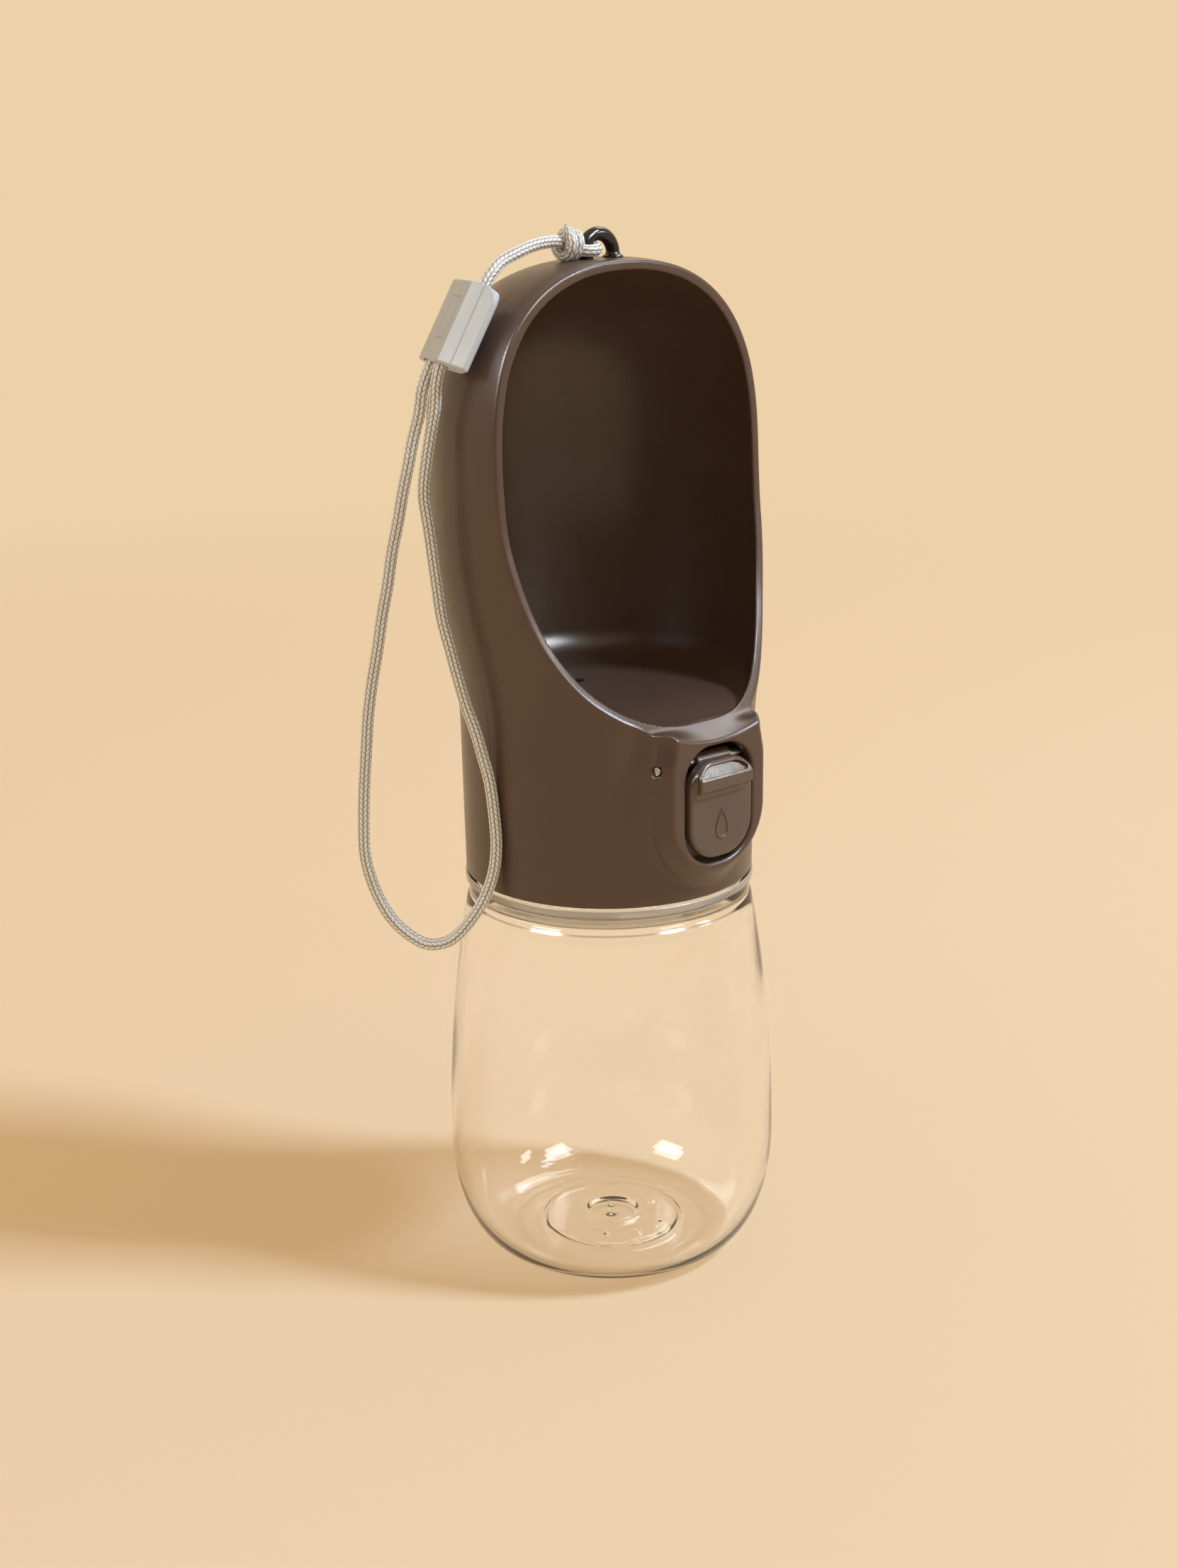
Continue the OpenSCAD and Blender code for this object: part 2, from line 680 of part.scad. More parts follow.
module lanyard_lug() {
    foot_r = lug_rod_r + 0.8;
    collar_r = lug_rod_r + 0.15;
    stake_low = 0.1 - head_wall;
    dip = 6;
    color([0.07, 0.07, 0.075]) translate([0, lug_y, 0]) {
        translate([0, 0, lug_arc_z]) rotate([90, 0, 0]) rotate([0, 0, -dip])
            rotate_extrude(angle = 180 + 2 * dip)
                translate([lug_half, 0]) circle(r = lug_rod_r);
        for (side = [-1, 1]) translate([side * lug_half, 0, lug_z])
            rotate_extrude() polygon([[0, stake_low], [stake_r, stake_low], [stake_r, 0],
                [foot_r, 0], [collar_r, lug_leg], [0, lug_leg]]);
    }
}

// The cord's turn round the lug's left leg, and the knot beside it.
module cord_knot() {
    turn_r = lug_rod_r + cord_r + 0.4;
    turn_z = lug_z + 1.65;
    color(cord_color) {
        translate([-lug_half, lug_y, turn_z])
            rotate_extrude() translate([turn_r, 0]) circle(r = cord_r);
        translate([-lug_half - 4.6, lug_y + 0.3, lug_z + 2.9]) sphere(r = 2.6, $fn = 32);
        translate([-lug_half - 6.2, lug_y + 0.3, lug_z + 3.3]) sphere(r = 2.4, $fn = 32);
        translate([-lug_half - 5.4, lug_y - 0.8, lug_z + 4.4]) rotate([0, 18, 0])
            cylinder(r1 = 1.4, r2 = 0.4, h = 3.4, $fn = 24);
    }
}

module cord_lead() {
    color(cord_color) swept(lead_route, cord_r, 8, cord_plane);
}

module cord_loop() {
    color(cord_color) swept(loop_route, cord_r, 8, cord_plane);
}

// A flat joiner: two sloping front faces that meet along a ridge, one cord in
// at the top and the loop's two strands in at the bottom.
module cord_clip() {
    drop = tan(clip_slope) * clip_w / 2;
    top_r = 3.5;
    hole_r = cord_r + 0.2;
    section = [[-clip_w / 2, -clip_t / 2], [clip_w / 2, -clip_t / 2],
        [clip_w / 2, clip_t / 2 - drop], [0, clip_t / 2], [-clip_w / 2, clip_t / 2 - drop]];
    color(clip_color) translate(clip_at) rotate(clip_turn) difference() {
        intersection() {
            translate([0, clip_len / 2, 0]) rotate([90, 0, 0])
                linear_extrude(clip_len) polygon(section);
            translate([0, 0, -clip_t]) linear_extrude(2 * clip_t) {
                translate([-clip_w / 2, -clip_len / 2]) square([clip_w, clip_len - top_r]);
                translate([-clip_w / 2, -clip_len / 2]) square([clip_w - top_r, clip_len]);
                translate([clip_w / 2 - top_r, clip_len / 2 - top_r]) circle(r = top_r);
            }
        }
        along_y(lead_x, clip_len / 2 - cord_depth, 0, hole_r, cord_depth + 1);
        for (x = strand_x) along_y(x, -clip_len / 2 - 1, 0, hole_r, cord_depth + 1);
    }
}

bottle();
neck_gasket();
head_shell();
neck_sleeve();
valve_plate();
plate_screws();
valve_body();
stem_gland();
stem_seal();
inlet_seal();
valve_stem();
valve_plug();
valve_spring();
valve_cap();
outlet_tube();
rocker();
rocker_pin();
button_cap();
lanyard_lug();
cord_knot();
cord_lead();
cord_clip();
cord_loop();
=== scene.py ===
import math

import bpy
import numpy as np
from mathutils import Euler, Matrix, Vector


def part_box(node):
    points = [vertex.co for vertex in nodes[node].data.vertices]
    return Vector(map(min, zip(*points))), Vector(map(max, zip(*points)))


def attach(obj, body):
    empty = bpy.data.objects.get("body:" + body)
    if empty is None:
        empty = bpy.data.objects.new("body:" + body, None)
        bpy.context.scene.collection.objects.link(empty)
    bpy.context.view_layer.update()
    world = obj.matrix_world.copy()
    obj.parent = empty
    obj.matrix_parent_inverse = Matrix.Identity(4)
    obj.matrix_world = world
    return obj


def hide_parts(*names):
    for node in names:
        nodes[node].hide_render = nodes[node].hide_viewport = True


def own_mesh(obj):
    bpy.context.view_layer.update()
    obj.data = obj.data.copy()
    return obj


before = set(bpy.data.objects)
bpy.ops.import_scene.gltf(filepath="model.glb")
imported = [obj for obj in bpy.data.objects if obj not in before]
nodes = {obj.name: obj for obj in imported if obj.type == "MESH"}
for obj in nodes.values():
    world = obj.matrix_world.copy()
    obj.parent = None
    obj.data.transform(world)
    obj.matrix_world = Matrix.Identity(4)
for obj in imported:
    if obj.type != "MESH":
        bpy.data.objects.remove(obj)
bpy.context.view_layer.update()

# Shapes are worked out in millimetres and turned into metres when a mesh is made.
MM = 0.001
scene = bpy.context.scene
scene.view_settings.view_transform = "Standard"


# ---- camera ----

cam_data = bpy.data.cameras.new("camera")
cam_data.sensor_width = 36
cam_data.lens = 50.85
cam_data.clip_start = 0.02
cam_data.clip_end = 30
camera = bpy.data.objects.new("camera", cam_data)
scene.collection.objects.link(camera)
cam_right = Vector((0.758288, -0.651801, -0.012431))
cam_up = Vector((0.195926, 0.209665, 0.957942))
cam_back = Vector((-0.621781, -0.728832, 0.286691))
camera.matrix_world = (
    Matrix.Translation((-0.3002, -0.34534, 0.24234))
    @ Matrix((cam_right, cam_up, cam_back)).transposed().to_4x4()
)
scene.camera = camera


# ---- mesh helpers ----

def new_object(name, points, faces, smooth=True, normals=None):
    """A mesh object from points in millimetres."""
    if isinstance(faces, np.ndarray):
        faces = faces.tolist()
    mesh = bpy.data.meshes.new(name)
    mesh.from_pydata((np.asarray(points, float) * MM).tolist(), [], faces)
    mesh.validate(clean_customdata=False)
    if smooth:
        mesh.shade_smooth()
    if normals is not None and len(mesh.vertices) == len(normals):
        mesh.normals_split_custom_set_from_vertices(normals.tolist())
    obj = bpy.data.objects.new(name, mesh)
    scene.collection.objects.link(obj)
    return obj


def outline_field(points, step=0.2, margin=8):
    """A function of (u, v): the signed distance to a closed outline, negative inside."""
    p = np.asarray(points, float)
    q = np.roll(p, -1, axis=0)
    low, high = p.min(0) - margin, p.max(0) + margin
    u = np.arange(low[0], high[0] + step, step)
    v = np.arange(low[1], high[1] + step, step)
    gu, gv = np.meshgrid(u, v, indexing="ij")
    best = np.full(gu.shape, 1e9)
    inside = np.zeros(gu.shape, bool)
    for a, b in zip(p, q):
        edge = b - a
        size = edge @ edge
        if size < 1e-12:
            continue
        t = np.clip(((gu - a[0]) * edge[0] + (gv - a[1]) * edge[1]) / size, 0, 1)
        gap = (gu - a[0] - t * edge[0]) ** 2 + (gv - a[1] - t * edge[1]) ** 2
        np.minimum(best, gap, out=best)
        if a[1] != b[1]:
            crosses = (gv >= min(a[1], b[1])) & (gv < max(a[1], b[1]))
            inside ^= crosses & (gu < a[0] + (gv - a[1]) * edge[0] / edge[1])
    grid = np.where(inside, -1, 1) * np.sqrt(best)

    def field(x, y):
        fx = np.clip((x - low[0]) / step, 0, len(u) - 1.001)
        fy = np.clip((y - low[1]) / step, 0, len(v) - 1.001)
        i, j = fx.astype(int), fy.astype(int)
        fx, fy = fx - i, fy - j
        near = grid[i, j] * (1 - fx) + grid[i + 1, j] * fx
        far = grid[i, j + 1] * (1 - fx) + grid[i + 1, j + 1] * fx
        return near * (1 - fy) + far * fy

    return field


def both(a, b, r=0.0):
    """The part that two fields share, with an edge rounded to radius r."""
    if np.ndim(r) == 0 and r == 0:
        return np.maximum(a, b)
    u, v = np.maximum(a + r, 0), np.maximum(b + r, 0)
    return np.minimum(np.maximum(a, b), -r) + np.hypot(u, v)


def either(a, b, r=0.0):
    """Two fields joined, with a fillet of radius r."""
    return -both(-a, -b, r)


def carve(a, b, r=0.0):
    """Field a without field b, with the edge rounded to radius r."""
    return both(a, -b, r)


def net_of(name, field, low, high, step):
    """A mesh of quads on the zero level of a field, with the field's own normals."""
    block, blocks_at_once, settle_rounds = 4, 8000, 4
    axes = [np.arange(a - step, b + 2 * step, step) for a, b in zip(low, high)]
    # A coarse pass finds the blocks near the surface, and only those are worked out finely.
    axes = [a[0] + step * np.arange(math.ceil(len(a) / block) * block) for a in axes]
    n = [len(a) - 1 for a in axes]
    middle = [a[::block] + step * (block - 1) / 2 for a in axes]
    coarse = field(*np.meshgrid(*middle, indexing="ij"))
    d = coarse
    for a in range(3):
        d = np.repeat(d, block, axis=a)
    near = np.argwhere(np.abs(coarse) < 1.5 * step * block)
    part = np.arange(block)
    sub = np.stack(np.meshgrid(part, part, part, indexing="ij"), -1).reshape(-1, 3)
    for some in np.array_split(near, max(1, len(near) // blocks_at_once)):
        at = (some[:, None] * block + sub[None]).reshape(-1, 3)
        d[tuple(at.T)] = field(*(a[i] for a, i in zip(axes, at.T)))
    inside = d < 0
    corners = [(i, j, k) for i in (0, 1) for j in (0, 1) for k in (0, 1)]
    count = sum(inside[i:n[0] + i, j:n[1] + j, k:n[2] + k].astype(np.int8)
                for i, j, k in corners)
    cells = np.argwhere((count > 0) & (count < 8))
    index = np.full(n, -1)
    index[tuple(cells.T)] = np.arange(len(cells))
    value = np.stack([d[tuple((cells + c).T)] for c in corners], 1)
    total = np.zeros((len(cells), 3))
    hits = np.zeros(len(cells))
    for a, ca in enumerate(corners):
        for b, cb in enumerate(corners):
            if b > a and sum(abs(p - q) for p, q in zip(ca, cb)) == 1:
                crossed = (value[:, a] < 0) != (value[:, b] < 0)
                va, vb = value[crossed, a], value[crossed, b]
                t = (va / (va - vb))[:, None]
                total[crossed] += np.array(ca) * (1 - t) + np.array(cb) * t
                hits[crossed] += 1
    origin = np.array([a[0] for a in axes])
    points = origin + step * (cells + total / hits[:, None])

    def slope(p, h):
        g = np.stack([
            field(*(p + h * e).T) - field(*(p - h * e).T) for e in np.eye(3)
        ], 1)
        return g / np.maximum(np.linalg.norm(g, axis=1), 1e-9)[:, None]

    for _ in range(settle_rounds):
        gap = np.clip(field(*points.T), -0.3 * step, 0.3 * step)
        points = points - slope(points, 0.05) * gap[:, None]
    quads = []
    for a in range(3):
        b, c = (a + 1) % 3, (a + 2) % 3
        first = [slice(None)] * 3
        last = [slice(None)] * 3
        first[a], last[a] = slice(0, -1), slice(1, None)
        s0, s1 = inside[tuple(first)], inside[tuple(last)]
        at = np.argwhere(s0 != s1)
        at = at[(at[:, b] > 0) & (at[:, c] > 0) & (at[:, b] < n[b]) & (at[:, c] < n[c])]
        quad = []
        for db, dc in ((0, 0), (-1, 0), (-1, -1), (0, -1)):
            cell = at.copy()
            cell[:, b] += db
            cell[:, c] += dc
            quad.append(index[tuple(cell.T)])
        quad = np.stack(quad, 1)
        out = s0[tuple(at.T)]
        quad[~out] = quad[~out][:, ::-1]
        quads.append(quad)
    normals = slope(points, 0.45 * step)
    return new_object(name, points, np.concatenate(quads), normals=normals)


def turned(name, profile, sides=256):
    """A closed solid of revolution about Z. The profile's first and last points are on the axis."""
    p = np.asarray(profile, float)
    ring = p[1:-1]
    a = np.linspace(0, 2 * math.pi, sides, endpoint=False)
    body = np.stack([
        np.outer(ring[:, 0], np.cos(a)), np.outer(ring[:, 0], np.sin(a)),
        np.repeat(ring[:, 1][:, None], sides, 1)], 2).reshape(-1, 3)
    points = np.concatenate([body, [[0, 0, p[0, 1]], [0, 0, p[-1, 1]]]])
    faces = []
    m = len(ring)
    for i in range(m - 1):
        for k in range(sides):
            k2 = (k + 1) % sides
            low, high = i * sides, (i + 1) * sides
            faces.append((low + k, low + k2, high + k2, high + k))
    for k in range(sides):
        k2 = (k + 1) % sides
        faces.append((m * sides, k2, k))
        faces.append((m * sides + 1, (m - 1) * sides + k, (m - 1) * sides + k2))
    return new_object(name, points, faces)


def smooth_line(points, step):
    """An even curve near the points, about step apart, and how far each point is along it."""
    between, smooth_rounds = 24, 30
    p = np.asarray(points, float)
    p = np.concatenate([[2 * p[0] - p[1]], p, [2 * p[-1] - p[-2]]])
    fine = []
    for i in range(1, len(p) - 2):
        t = np.linspace(0, 1, between, endpoint=False)[:, None]
        a, b, c, d = p[i - 1], p[i], p[i + 1], p[i + 2]
        fine.append(0.5 * (2 * b + (c - a) * t + (2 * a - 5 * b + 4 * c - d) * t ** 2
                           + (3 * b - a - 3 * c + d) * t ** 3))
    fine = np.concatenate(fine + [p[-2][None]])
    for _ in range(smooth_rounds):
        fine[1:-1] = 0.25 * fine[:-2] + 0.5 * fine[1:-1] + 0.25 * fine[2:]
    run = np.concatenate([[0], np.cumsum(np.linalg.norm(np.diff(fine, axis=0), axis=1))])
    even = np.linspace(0, run[-1], max(2, int(round(run[-1] / step)) + 1))
    return np.stack([np.interp(even, run, fine[:, k]) for k in range(3)], 1), even


def unit(v):
    return v / np.linalg.norm(v, axis=-1, keepdims=True)


# ---- cords ----

CORD_R = 1.3
CORD_PLANE = np.array([-0.656, -0.755, 0])
LEAD_ROUTE = [
    [-10, 2, 219.5], [-13, 2, 219.5], [-17, 1.5, 219], [-21, 1, 218], [-25, 1, 216.5],
    [-28, 0.5, 214.5], [-30, 0.5, 212], [-31, 0.5, 210]]
LOOP_ROUTE = [
    [-38, 6, 199.5], [-39.5, 6.5, 196.5], [-41, 7, 192.5], [-41.5, 7.5, 188],
    [-42.5, 8.5, 183], [-43.5, 9, 178], [-44.5, 10, 172], [-45.5, 10.5, 166.5],
    [-46.5, 11.5, 160.5], [-47.5, 12, 154], [-48.5, 13, 147.5], [-49.5, 13.5, 141],
    [-50.5, 14.5, 134], [-51.5, 15, 127], [-52, 15.5, 119.5], [-52.5, 16, 112],
    [-53, 16, 104.5], [-53, 16, 97], [-51.5, 15, 89.5], [-49.5, 12.5, 83.5],
    [-46.5, 10, 79.5], [-43.5, 7.5, 77.5], [-40, 4.5, 78.5], [-37, 2, 82.5],
    [-34.5, 0, 87.5], [-33, -1.5, 93.5], [-32.5, -2, 99.5], [-32.5, -1.5, 105.5],
    [-33, -1, 112.5], [-34, 0, 118.5], [-35, 1, 124], [-36.5, 2, 129.5],
    [-37.5, 3, 135], [-38.5, 4, 141], [-39.5, 5, 147], [-40, 5.5, 153],
    [-40.5, 6, 159.5], [-41, 6.5, 166], [-41.5, 7, 172], [-41, 6.5, 178],
    [-40, 6, 184], [-39.5, 5, 189], [-39.5, 4.5, 193], [-39, 4, 196.5],
    [-38, 3.5, 199]]
BRAID_COLUMNS, BRAID_PITCH, BRAID_SLANT, BRAID_DEPTH = 8, 1.1, 0.75, 0.24
UV_PER_METRE = 100


def braid(u, v):
    """Height of the braid, 0 to 1, at u round the cord (0 to 1) and v along it (mm)."""
    column = u * BRAID_COLUMNS
    across = column % 1.0
    sign = np.where(np.floor(column) % 2 == 0, 1.0, -1.0)
    shift = np.where(sign > 0, 0.0, 0.5)
    stitch = (v / BRAID_PITCH + sign * (across - 0.5) * BRAID_SLANT + shift) % 1.0
    along = np.sin(math.pi * stitch) ** 0.55
    side = np.sin(math.pi * across) ** 0.45
    return along * side


def braided(name, points, r, depth=BRAID_DEPTH, sides=40, step=0.15, taper=None,
            plane=CORD_PLANE):
    """A braided tube that follows the points, with its line."""
    line, run = smooth_line(points, step)
    ahead = unit(np.gradient(line, axis=0))
    across = unit(np.cross(ahead, plane))
    up = np.cross(across, ahead)
    u = np.arange(sides) / sides
    height = braid(u[None, :], run[:, None])
    size = np.full(len(line), r) if taper is None else r * taper(run / run[-1])
    radius = size[:, None] - depth * size[:, None] / r * (1 - height)
    angle = 2 * math.pi * u
    ring = (np.cos(angle)[None, :, None] * across[:, None]
            + np.sin(angle)[None, :, None] * up[:, None])
    points = (line[:, None] + radius[..., None] * ring).reshape(-1, 3)
    rows = np.arange(len(line) - 1)[:, None] * sides
    k = np.arange(sides)[None]
    k2 = (k + 1) % sides
    quads = np.stack([rows + k, rows + k2, rows + sides + k2, rows + sides + k], 2)
    faces = quads.reshape(-1, 4).tolist()
    faces.append(list(range(sides))[::-1])
    faces.append([(len(line) - 1) * sides + i for i in range(sides)])
    obj = new_object(name, points, faces)
    # The braid's height is kept as a colour too; the cord's material paints its low places darker
    # from it, as painted shade between the stitches.
    shade = obj.data.color_attributes.new("braid", "FLOAT_COLOR", "POINT")
    level = height.reshape(-1)
    shade.data.foreach_set(
        "color", np.stack([level, level, level, np.ones_like(level)], 1).ravel())
    uv = obj.data.uv_layers.new(name="along")
    corner = np.zeros(len(obj.data.loops), np.int32)
    obj.data.loops.foreach_get("vertex_index", corner)
    around, along = (corner % sides) / sides, run[corner // sides] * MM * UV_PER_METRE
    uv.data.foreach_set("uv", np.stack([around, along], 1).ravel())
    return obj, line


# The lead starts behind the lug's left leg, inside its knot, and ends in the clip.
lead_start, lead_end = [[-4.8, 4.2, 217.7], [-7.2, 3.5, 218.9]], [[-31.3, 0.46, 209.4]]
lead, lead_line = braided("wrist_cord_lead", lead_start + LEAD_ROUTE + lead_end, CORD_R)
loop, loop_line = braided("wrist_cord_loop", LOOP_ROUTE, CORD_R)


# ---- bottle ----

FOOT_R, BELLY_R, BELLY_Z, BELLY_N = 22.3, 36.0, 26.4, 2.2
SHOULDER_R, SHOULDER_Z, GROOVE_R = 31.0, 81.3, 30.5
FLANGE_R, FLANGE_LOW, FLANGE_TOP = 31.2, 85.7, 87.4
NECK_R, NECK_IN, NECK_TOP = 25.0, 22.5, 97.5
WALL, BASE_T, PUSH_UP, PUSH_R = 1.4, 2.0, 1.8, 15.3
# The thin step at the shoulder, which gets a painted dark line.
STEP_LOW, STEP_HIGH = SHOULDER_Z + 0.26, SHOULDER_Z + 0.6
UNDER_R = FOOT_R - 2


def belly(a, r_top, low_z):
    """The rounded lower wall, from the foot at a = 0 to the widest place at a quarter turn."""
    r = FOOT_R + (r_top - FOOT_R) * np.sin(a) ** (2 / BELLY_N)
    z = BELLY_Z - (BELLY_Z - low_z) * np.cos(a) ** (2 / BELLY_N)
    return np.stack([r, z], 1)


def upper_wall(t, wall):
    """The wall above the widest place, from there at t = 0 to the shoulder at t = 1."""
    return np.stack([BELLY_R - wall - (BELLY_R - SHOULDER_R) * t * t,
                     BELLY_Z + (SHOULDER_Z - BELLY_Z) * t], 1)


def round_corner(a, b, c, r, n=5):
    """Points of a fillet of radius r at b, between a and c."""
    a, b, c = (np.asarray(v, float) for v in (a, b, c))
    u, v = unit(a - b), unit(c - b)
    half = math.acos(np.clip(u @ v, -1, 1)) / 2
    longest = 0.45
    cut = min(r / math.tan(half), longest * np.linalg.norm(a - b),
              longest * np.linalg.norm(c - b))
    s = np.linspace(0, 1, n)[:, None]
    p0, p2 = b + u * cut, b + v * cut
    return (1 - s) ** 2 * p0 + 2 * s * (1 - s) * b + s ** 2 * p2


def rounded(points, radii):
    """The points of a profile, with a fillet at each corner that has a radius."""
    out = [np.asarray([points[0]], float)]
    for i in range(1, len(points) - 1):
        if radii[i]:
            out.append(round_corner(*points[i - 1:i + 2], radii[i]))
        else:
            out.append(np.asarray([points[i]], float))
    out.append(np.asarray([points[-1]], float))
    return np.concatenate(out)


outer = belly(np.linspace(0, math.pi / 2, 40), BELLY_R, 0)
upper = upper_wall(np.linspace(0, 1, 36)[1:], 0)
shoulder = rounded(
    [upper[-1], (30.84, STEP_LOW), (30.62, STEP_HIGH), (GROOVE_R, SHOULDER_Z + 0.8),
     (GROOVE_R, FLANGE_LOW), (FLANGE_R, FLANGE_LOW), (FLANGE_R, FLANGE_TOP),
     (NECK_R, FLANGE_TOP), (NECK_R, NECK_TOP), (NECK_IN, NECK_TOP),
     (NECK_IN, FLANGE_TOP - WALL), (GROOVE_R - WALL, SHOULDER_Z + 1.7),
     upper_wall(np.array([1.0]), WALL)[0]],
    [0, 0, 0, 0.12, 0.25, 0.35, 0.35, 0.3, 0.5, 0.5, 1.5, 1.5, 0])
inner_upper = upper_wall(np.linspace(1, 0, 36)[1:-1], WALL)
inner_low = belly(np.linspace(math.pi / 2, 0, 40), BELLY_R - WALL, BASE_T)
r_floor = np.linspace(FOOT_R, 0, 46)[1:]


def base_top(r):
    """Height of the bottle's inner bottom."""
    z = BASE_T + PUSH_UP * (1 - (r / FOOT_R) ** 2) * 0.9
    z = z + 0.35 / (1 + np.exp((r - PUSH_R) * 5)) - 0.25 * np.exp(-((r - PUSH_R) / 0.6) ** 2)
    return z + 0.3 * np.exp(-((r - 6.4) / 0.9) ** 2) - 0.22 / (1 + np.exp((r - 5.2) * 2.4))


def base_low(r):
    """Height of the bottle's underside."""
    z = PUSH_UP * (1 - (r / UNDER_R) ** 2) * 0.85
    z = z + 0.25 * np.exp(-((r - PUSH_R) / 0.7) ** 2)
    z = z + 0.25 / (1 + np.exp((r - 6.0) * 2.4)) - 0.2 * np.exp(-(r / 1.4) ** 2)
    return np.maximum(z, 0)


floor_in = np.stack([r_floor, base_top(r_floor)], 1)
r_under = np.linspace(0, UNDER_R, 46)
under = np.stack([r_under, base_low(r_under)], 1)
under[-1] = (UNDER_R, 0)
bottle = turned("clear_bottle", np.concatenate([
    under, outer, upper[:-1], shoulder, inner_upper, inner_low, floor_in]))

# Small moulded nubs on the inner bottom, and a slight waviness of the blown wall.
NUBS = ((-8.5, -7.2), (-3.0, -12.0), (4.5, -11.5), (9.5, -3.0), (1.2, 2.1), (-1.9, -1.2))
NUB_H, WAVINESS = 0.4, 0.0011
co = np.zeros(3 * len(bottle.data.vertices))
bottle.data.vertices.foreach_get("co", co)
co = co.reshape(-1, 3) / MM
within = (np.hypot(co[:, 0], co[:, 1]) < 20) & (co[:, 2] > 2.2)
for nub_x, nub_y in NUBS:
    away = (co[:, 0] - nub_x) ** 2 + (co[:, 1] - nub_y) ** 2
    co[:, 2] += np.where(within, NUB_H * np.exp(-away / 0.5), 0)
turn = np.arctan2(co[:, 1], co[:, 0])
wave = (np.sin(3 * turn + co[:, 2] * 0.08) + 0.7 * np.sin(7 * turn - co[:, 2] * 0.13)
        + 0.5 * np.sin(2 * turn - co[:, 2] * 0.21))
wall = np.clip((co[:, 2] - 4) / 8, 0, 1) * np.clip((80 - co[:, 2]) / 8, 0, 1)
inner = np.hypot(co[:, 0], co[:, 1]) < np.interp(co[:, 2], upper[:, 1], upper[:, 0]) - 0.6
co[:, :2] *= 1 + (WAVINESS * wave * wall * inner)[:, None]
bottle.data.vertices.foreach_set("co", (co * MM).ravel())
bottle.data.update()


def thread(name, r, height, pitch, low, high, width):
    """A screw thread: one ridge that winds up round a neck and fades at both ends."""
    lead_in, per_turn, sunk = 0.25, 96, 0.3
    turns = (high - low) / pitch
    steps = int(turns * per_turn)
    points, faces = [], []
    for i in range(steps + 1):
        t = i / steps
        a = 2 * math.pi * turns * t
        z = low + (high - low) * t
        fade = min(1, t * turns / lead_in, (1 - t) * turns / lead_in)
        for dr, dz in ((-sunk, -width / 2), (height * fade, -width / 4),
                       (height * fade, width / 4), (-sunk, width / 2)):
            points.append(((r + dr) * math.cos(a), (r + dr) * math.sin(a), z + dz))
    for i in range(steps):
        for k in range(4):
            k2 = (k + 1) % 4
            faces.append((4 * i + k, 4 * i + 4 + k, 4 * i + 4 + k2, 4 * i + k2))
    faces.append((0, 1, 2, 3))
    faces.append((4 * steps + 3, 4 * steps + 2, 4 * steps + 1, 4 * steps))
    return new_object(name, points, faces, smooth=False)


neck_thread = thread("neck_thread", NECK_R, height=0.38, pitch=4.0, low=89.6, high=96.2,
                     width=1.5)


# ---- head ----

HEAD_Z, FLOOR_Z, UNDER_Z = 87.8, 126.5, 124.5
WAIST_R, WAIST_Z, WIDE_R, WIDE_Z = 31.4, 120.0, 37.0, 170.0
SKIRT_R, SKIRT_IN = 31.0, 28.9
DOME_H, DOME_A, DOME_B, DOME_FLAT = 46.2, 2.3, 3.1, 7.0
HEAD_WALL = 2.0
DOME_END = math.acos((DOME_FLAT / WIDE_R) ** (DOME_A / 2))
HEAD_TOP = WIDE_Z + DOME_H * math.sin(DOME_END) ** (2 / DOME_B)
PIN_Y, PIN_Z = -31.3, 117.7
WINDOW_LOW, WINDOW_TOP, WINDOW_W = 96.4, 121.2, 9.25
HOUSING_Y, HOUSING_W, HOUSING_TOP, ROUND_Z = -34.6, 12.6, 128, 107.2
# The housing narrows by this much a side from this height on, over this length.
TAPER, TAPER_Z, TAPER_H = 1.2, 116.5, 8
FLOOR_FALL, LIP_DIP = 1.3, 2.2
BOSS_AT, BOSS_R, SCREW_HOLE_R = 13.1, 3.2, 1.05
OUTLET_Y, OUTLET_BOSS_R, TUBE_HOLE_R, OUTLET_R = 11, 5.0, 3.5, 2.15
BOSS_TOP = 125.5
PIN_HOLE_R = 1.05


def flare(z, wall):
    """Radius of the head's side at height z, a wall's thickness in."""
    t = np.clip((WIDE_Z - z) / (WIDE_Z - WAIST_Z), 0, 1) ** 1.3
    return WIDE_R - wall - (WIDE_R - WAIST_R) * t * t * (3 - 2 * t)


def dome(a, wall):
    """The dome's profile, from its widest place at a = 0, a wall's thickness in."""
    return np.stack([(WIDE_R - wall) * np.cos(a) ** (2 / DOME_A),
                     WIDE_Z + (DOME_H - wall) * np.sin(a) ** (2 / DOME_B)], 1)


flare_z = np.linspace(WAIST_Z, WIDE_Z, 40)
dome_a = np.linspace(0, DOME_END, 60)[1:]
skin_side = np.stack([flare(flare_z, 0), flare_z], 1)
skin_top = dome(dome_a, 0)
skin = outline_field(np.concatenate([
    [[-6, HEAD_Z - 5], [SKIRT_R, HEAD_Z - 5], [SKIRT_R, HEAD_Z + 0.4]],
    skin_side, skin_top, [[-6, HEAD_TOP]]]))
bowl_z = np.linspace(FLOOR_Z, WIDE_Z, 40)
bowl = outline_field(np.concatenate([
    [[-12, FLOOR_Z - 8], [flare(bowl_z[0], HEAD_WALL), FLOOR_Z - 8]],
    np.stack([flare(bowl_z, HEAD_WALL), bowl_z], 1), dome(dome_a, HEAD_WALL),
    [[-12, HEAD_TOP - HEAD_WALL]]]))
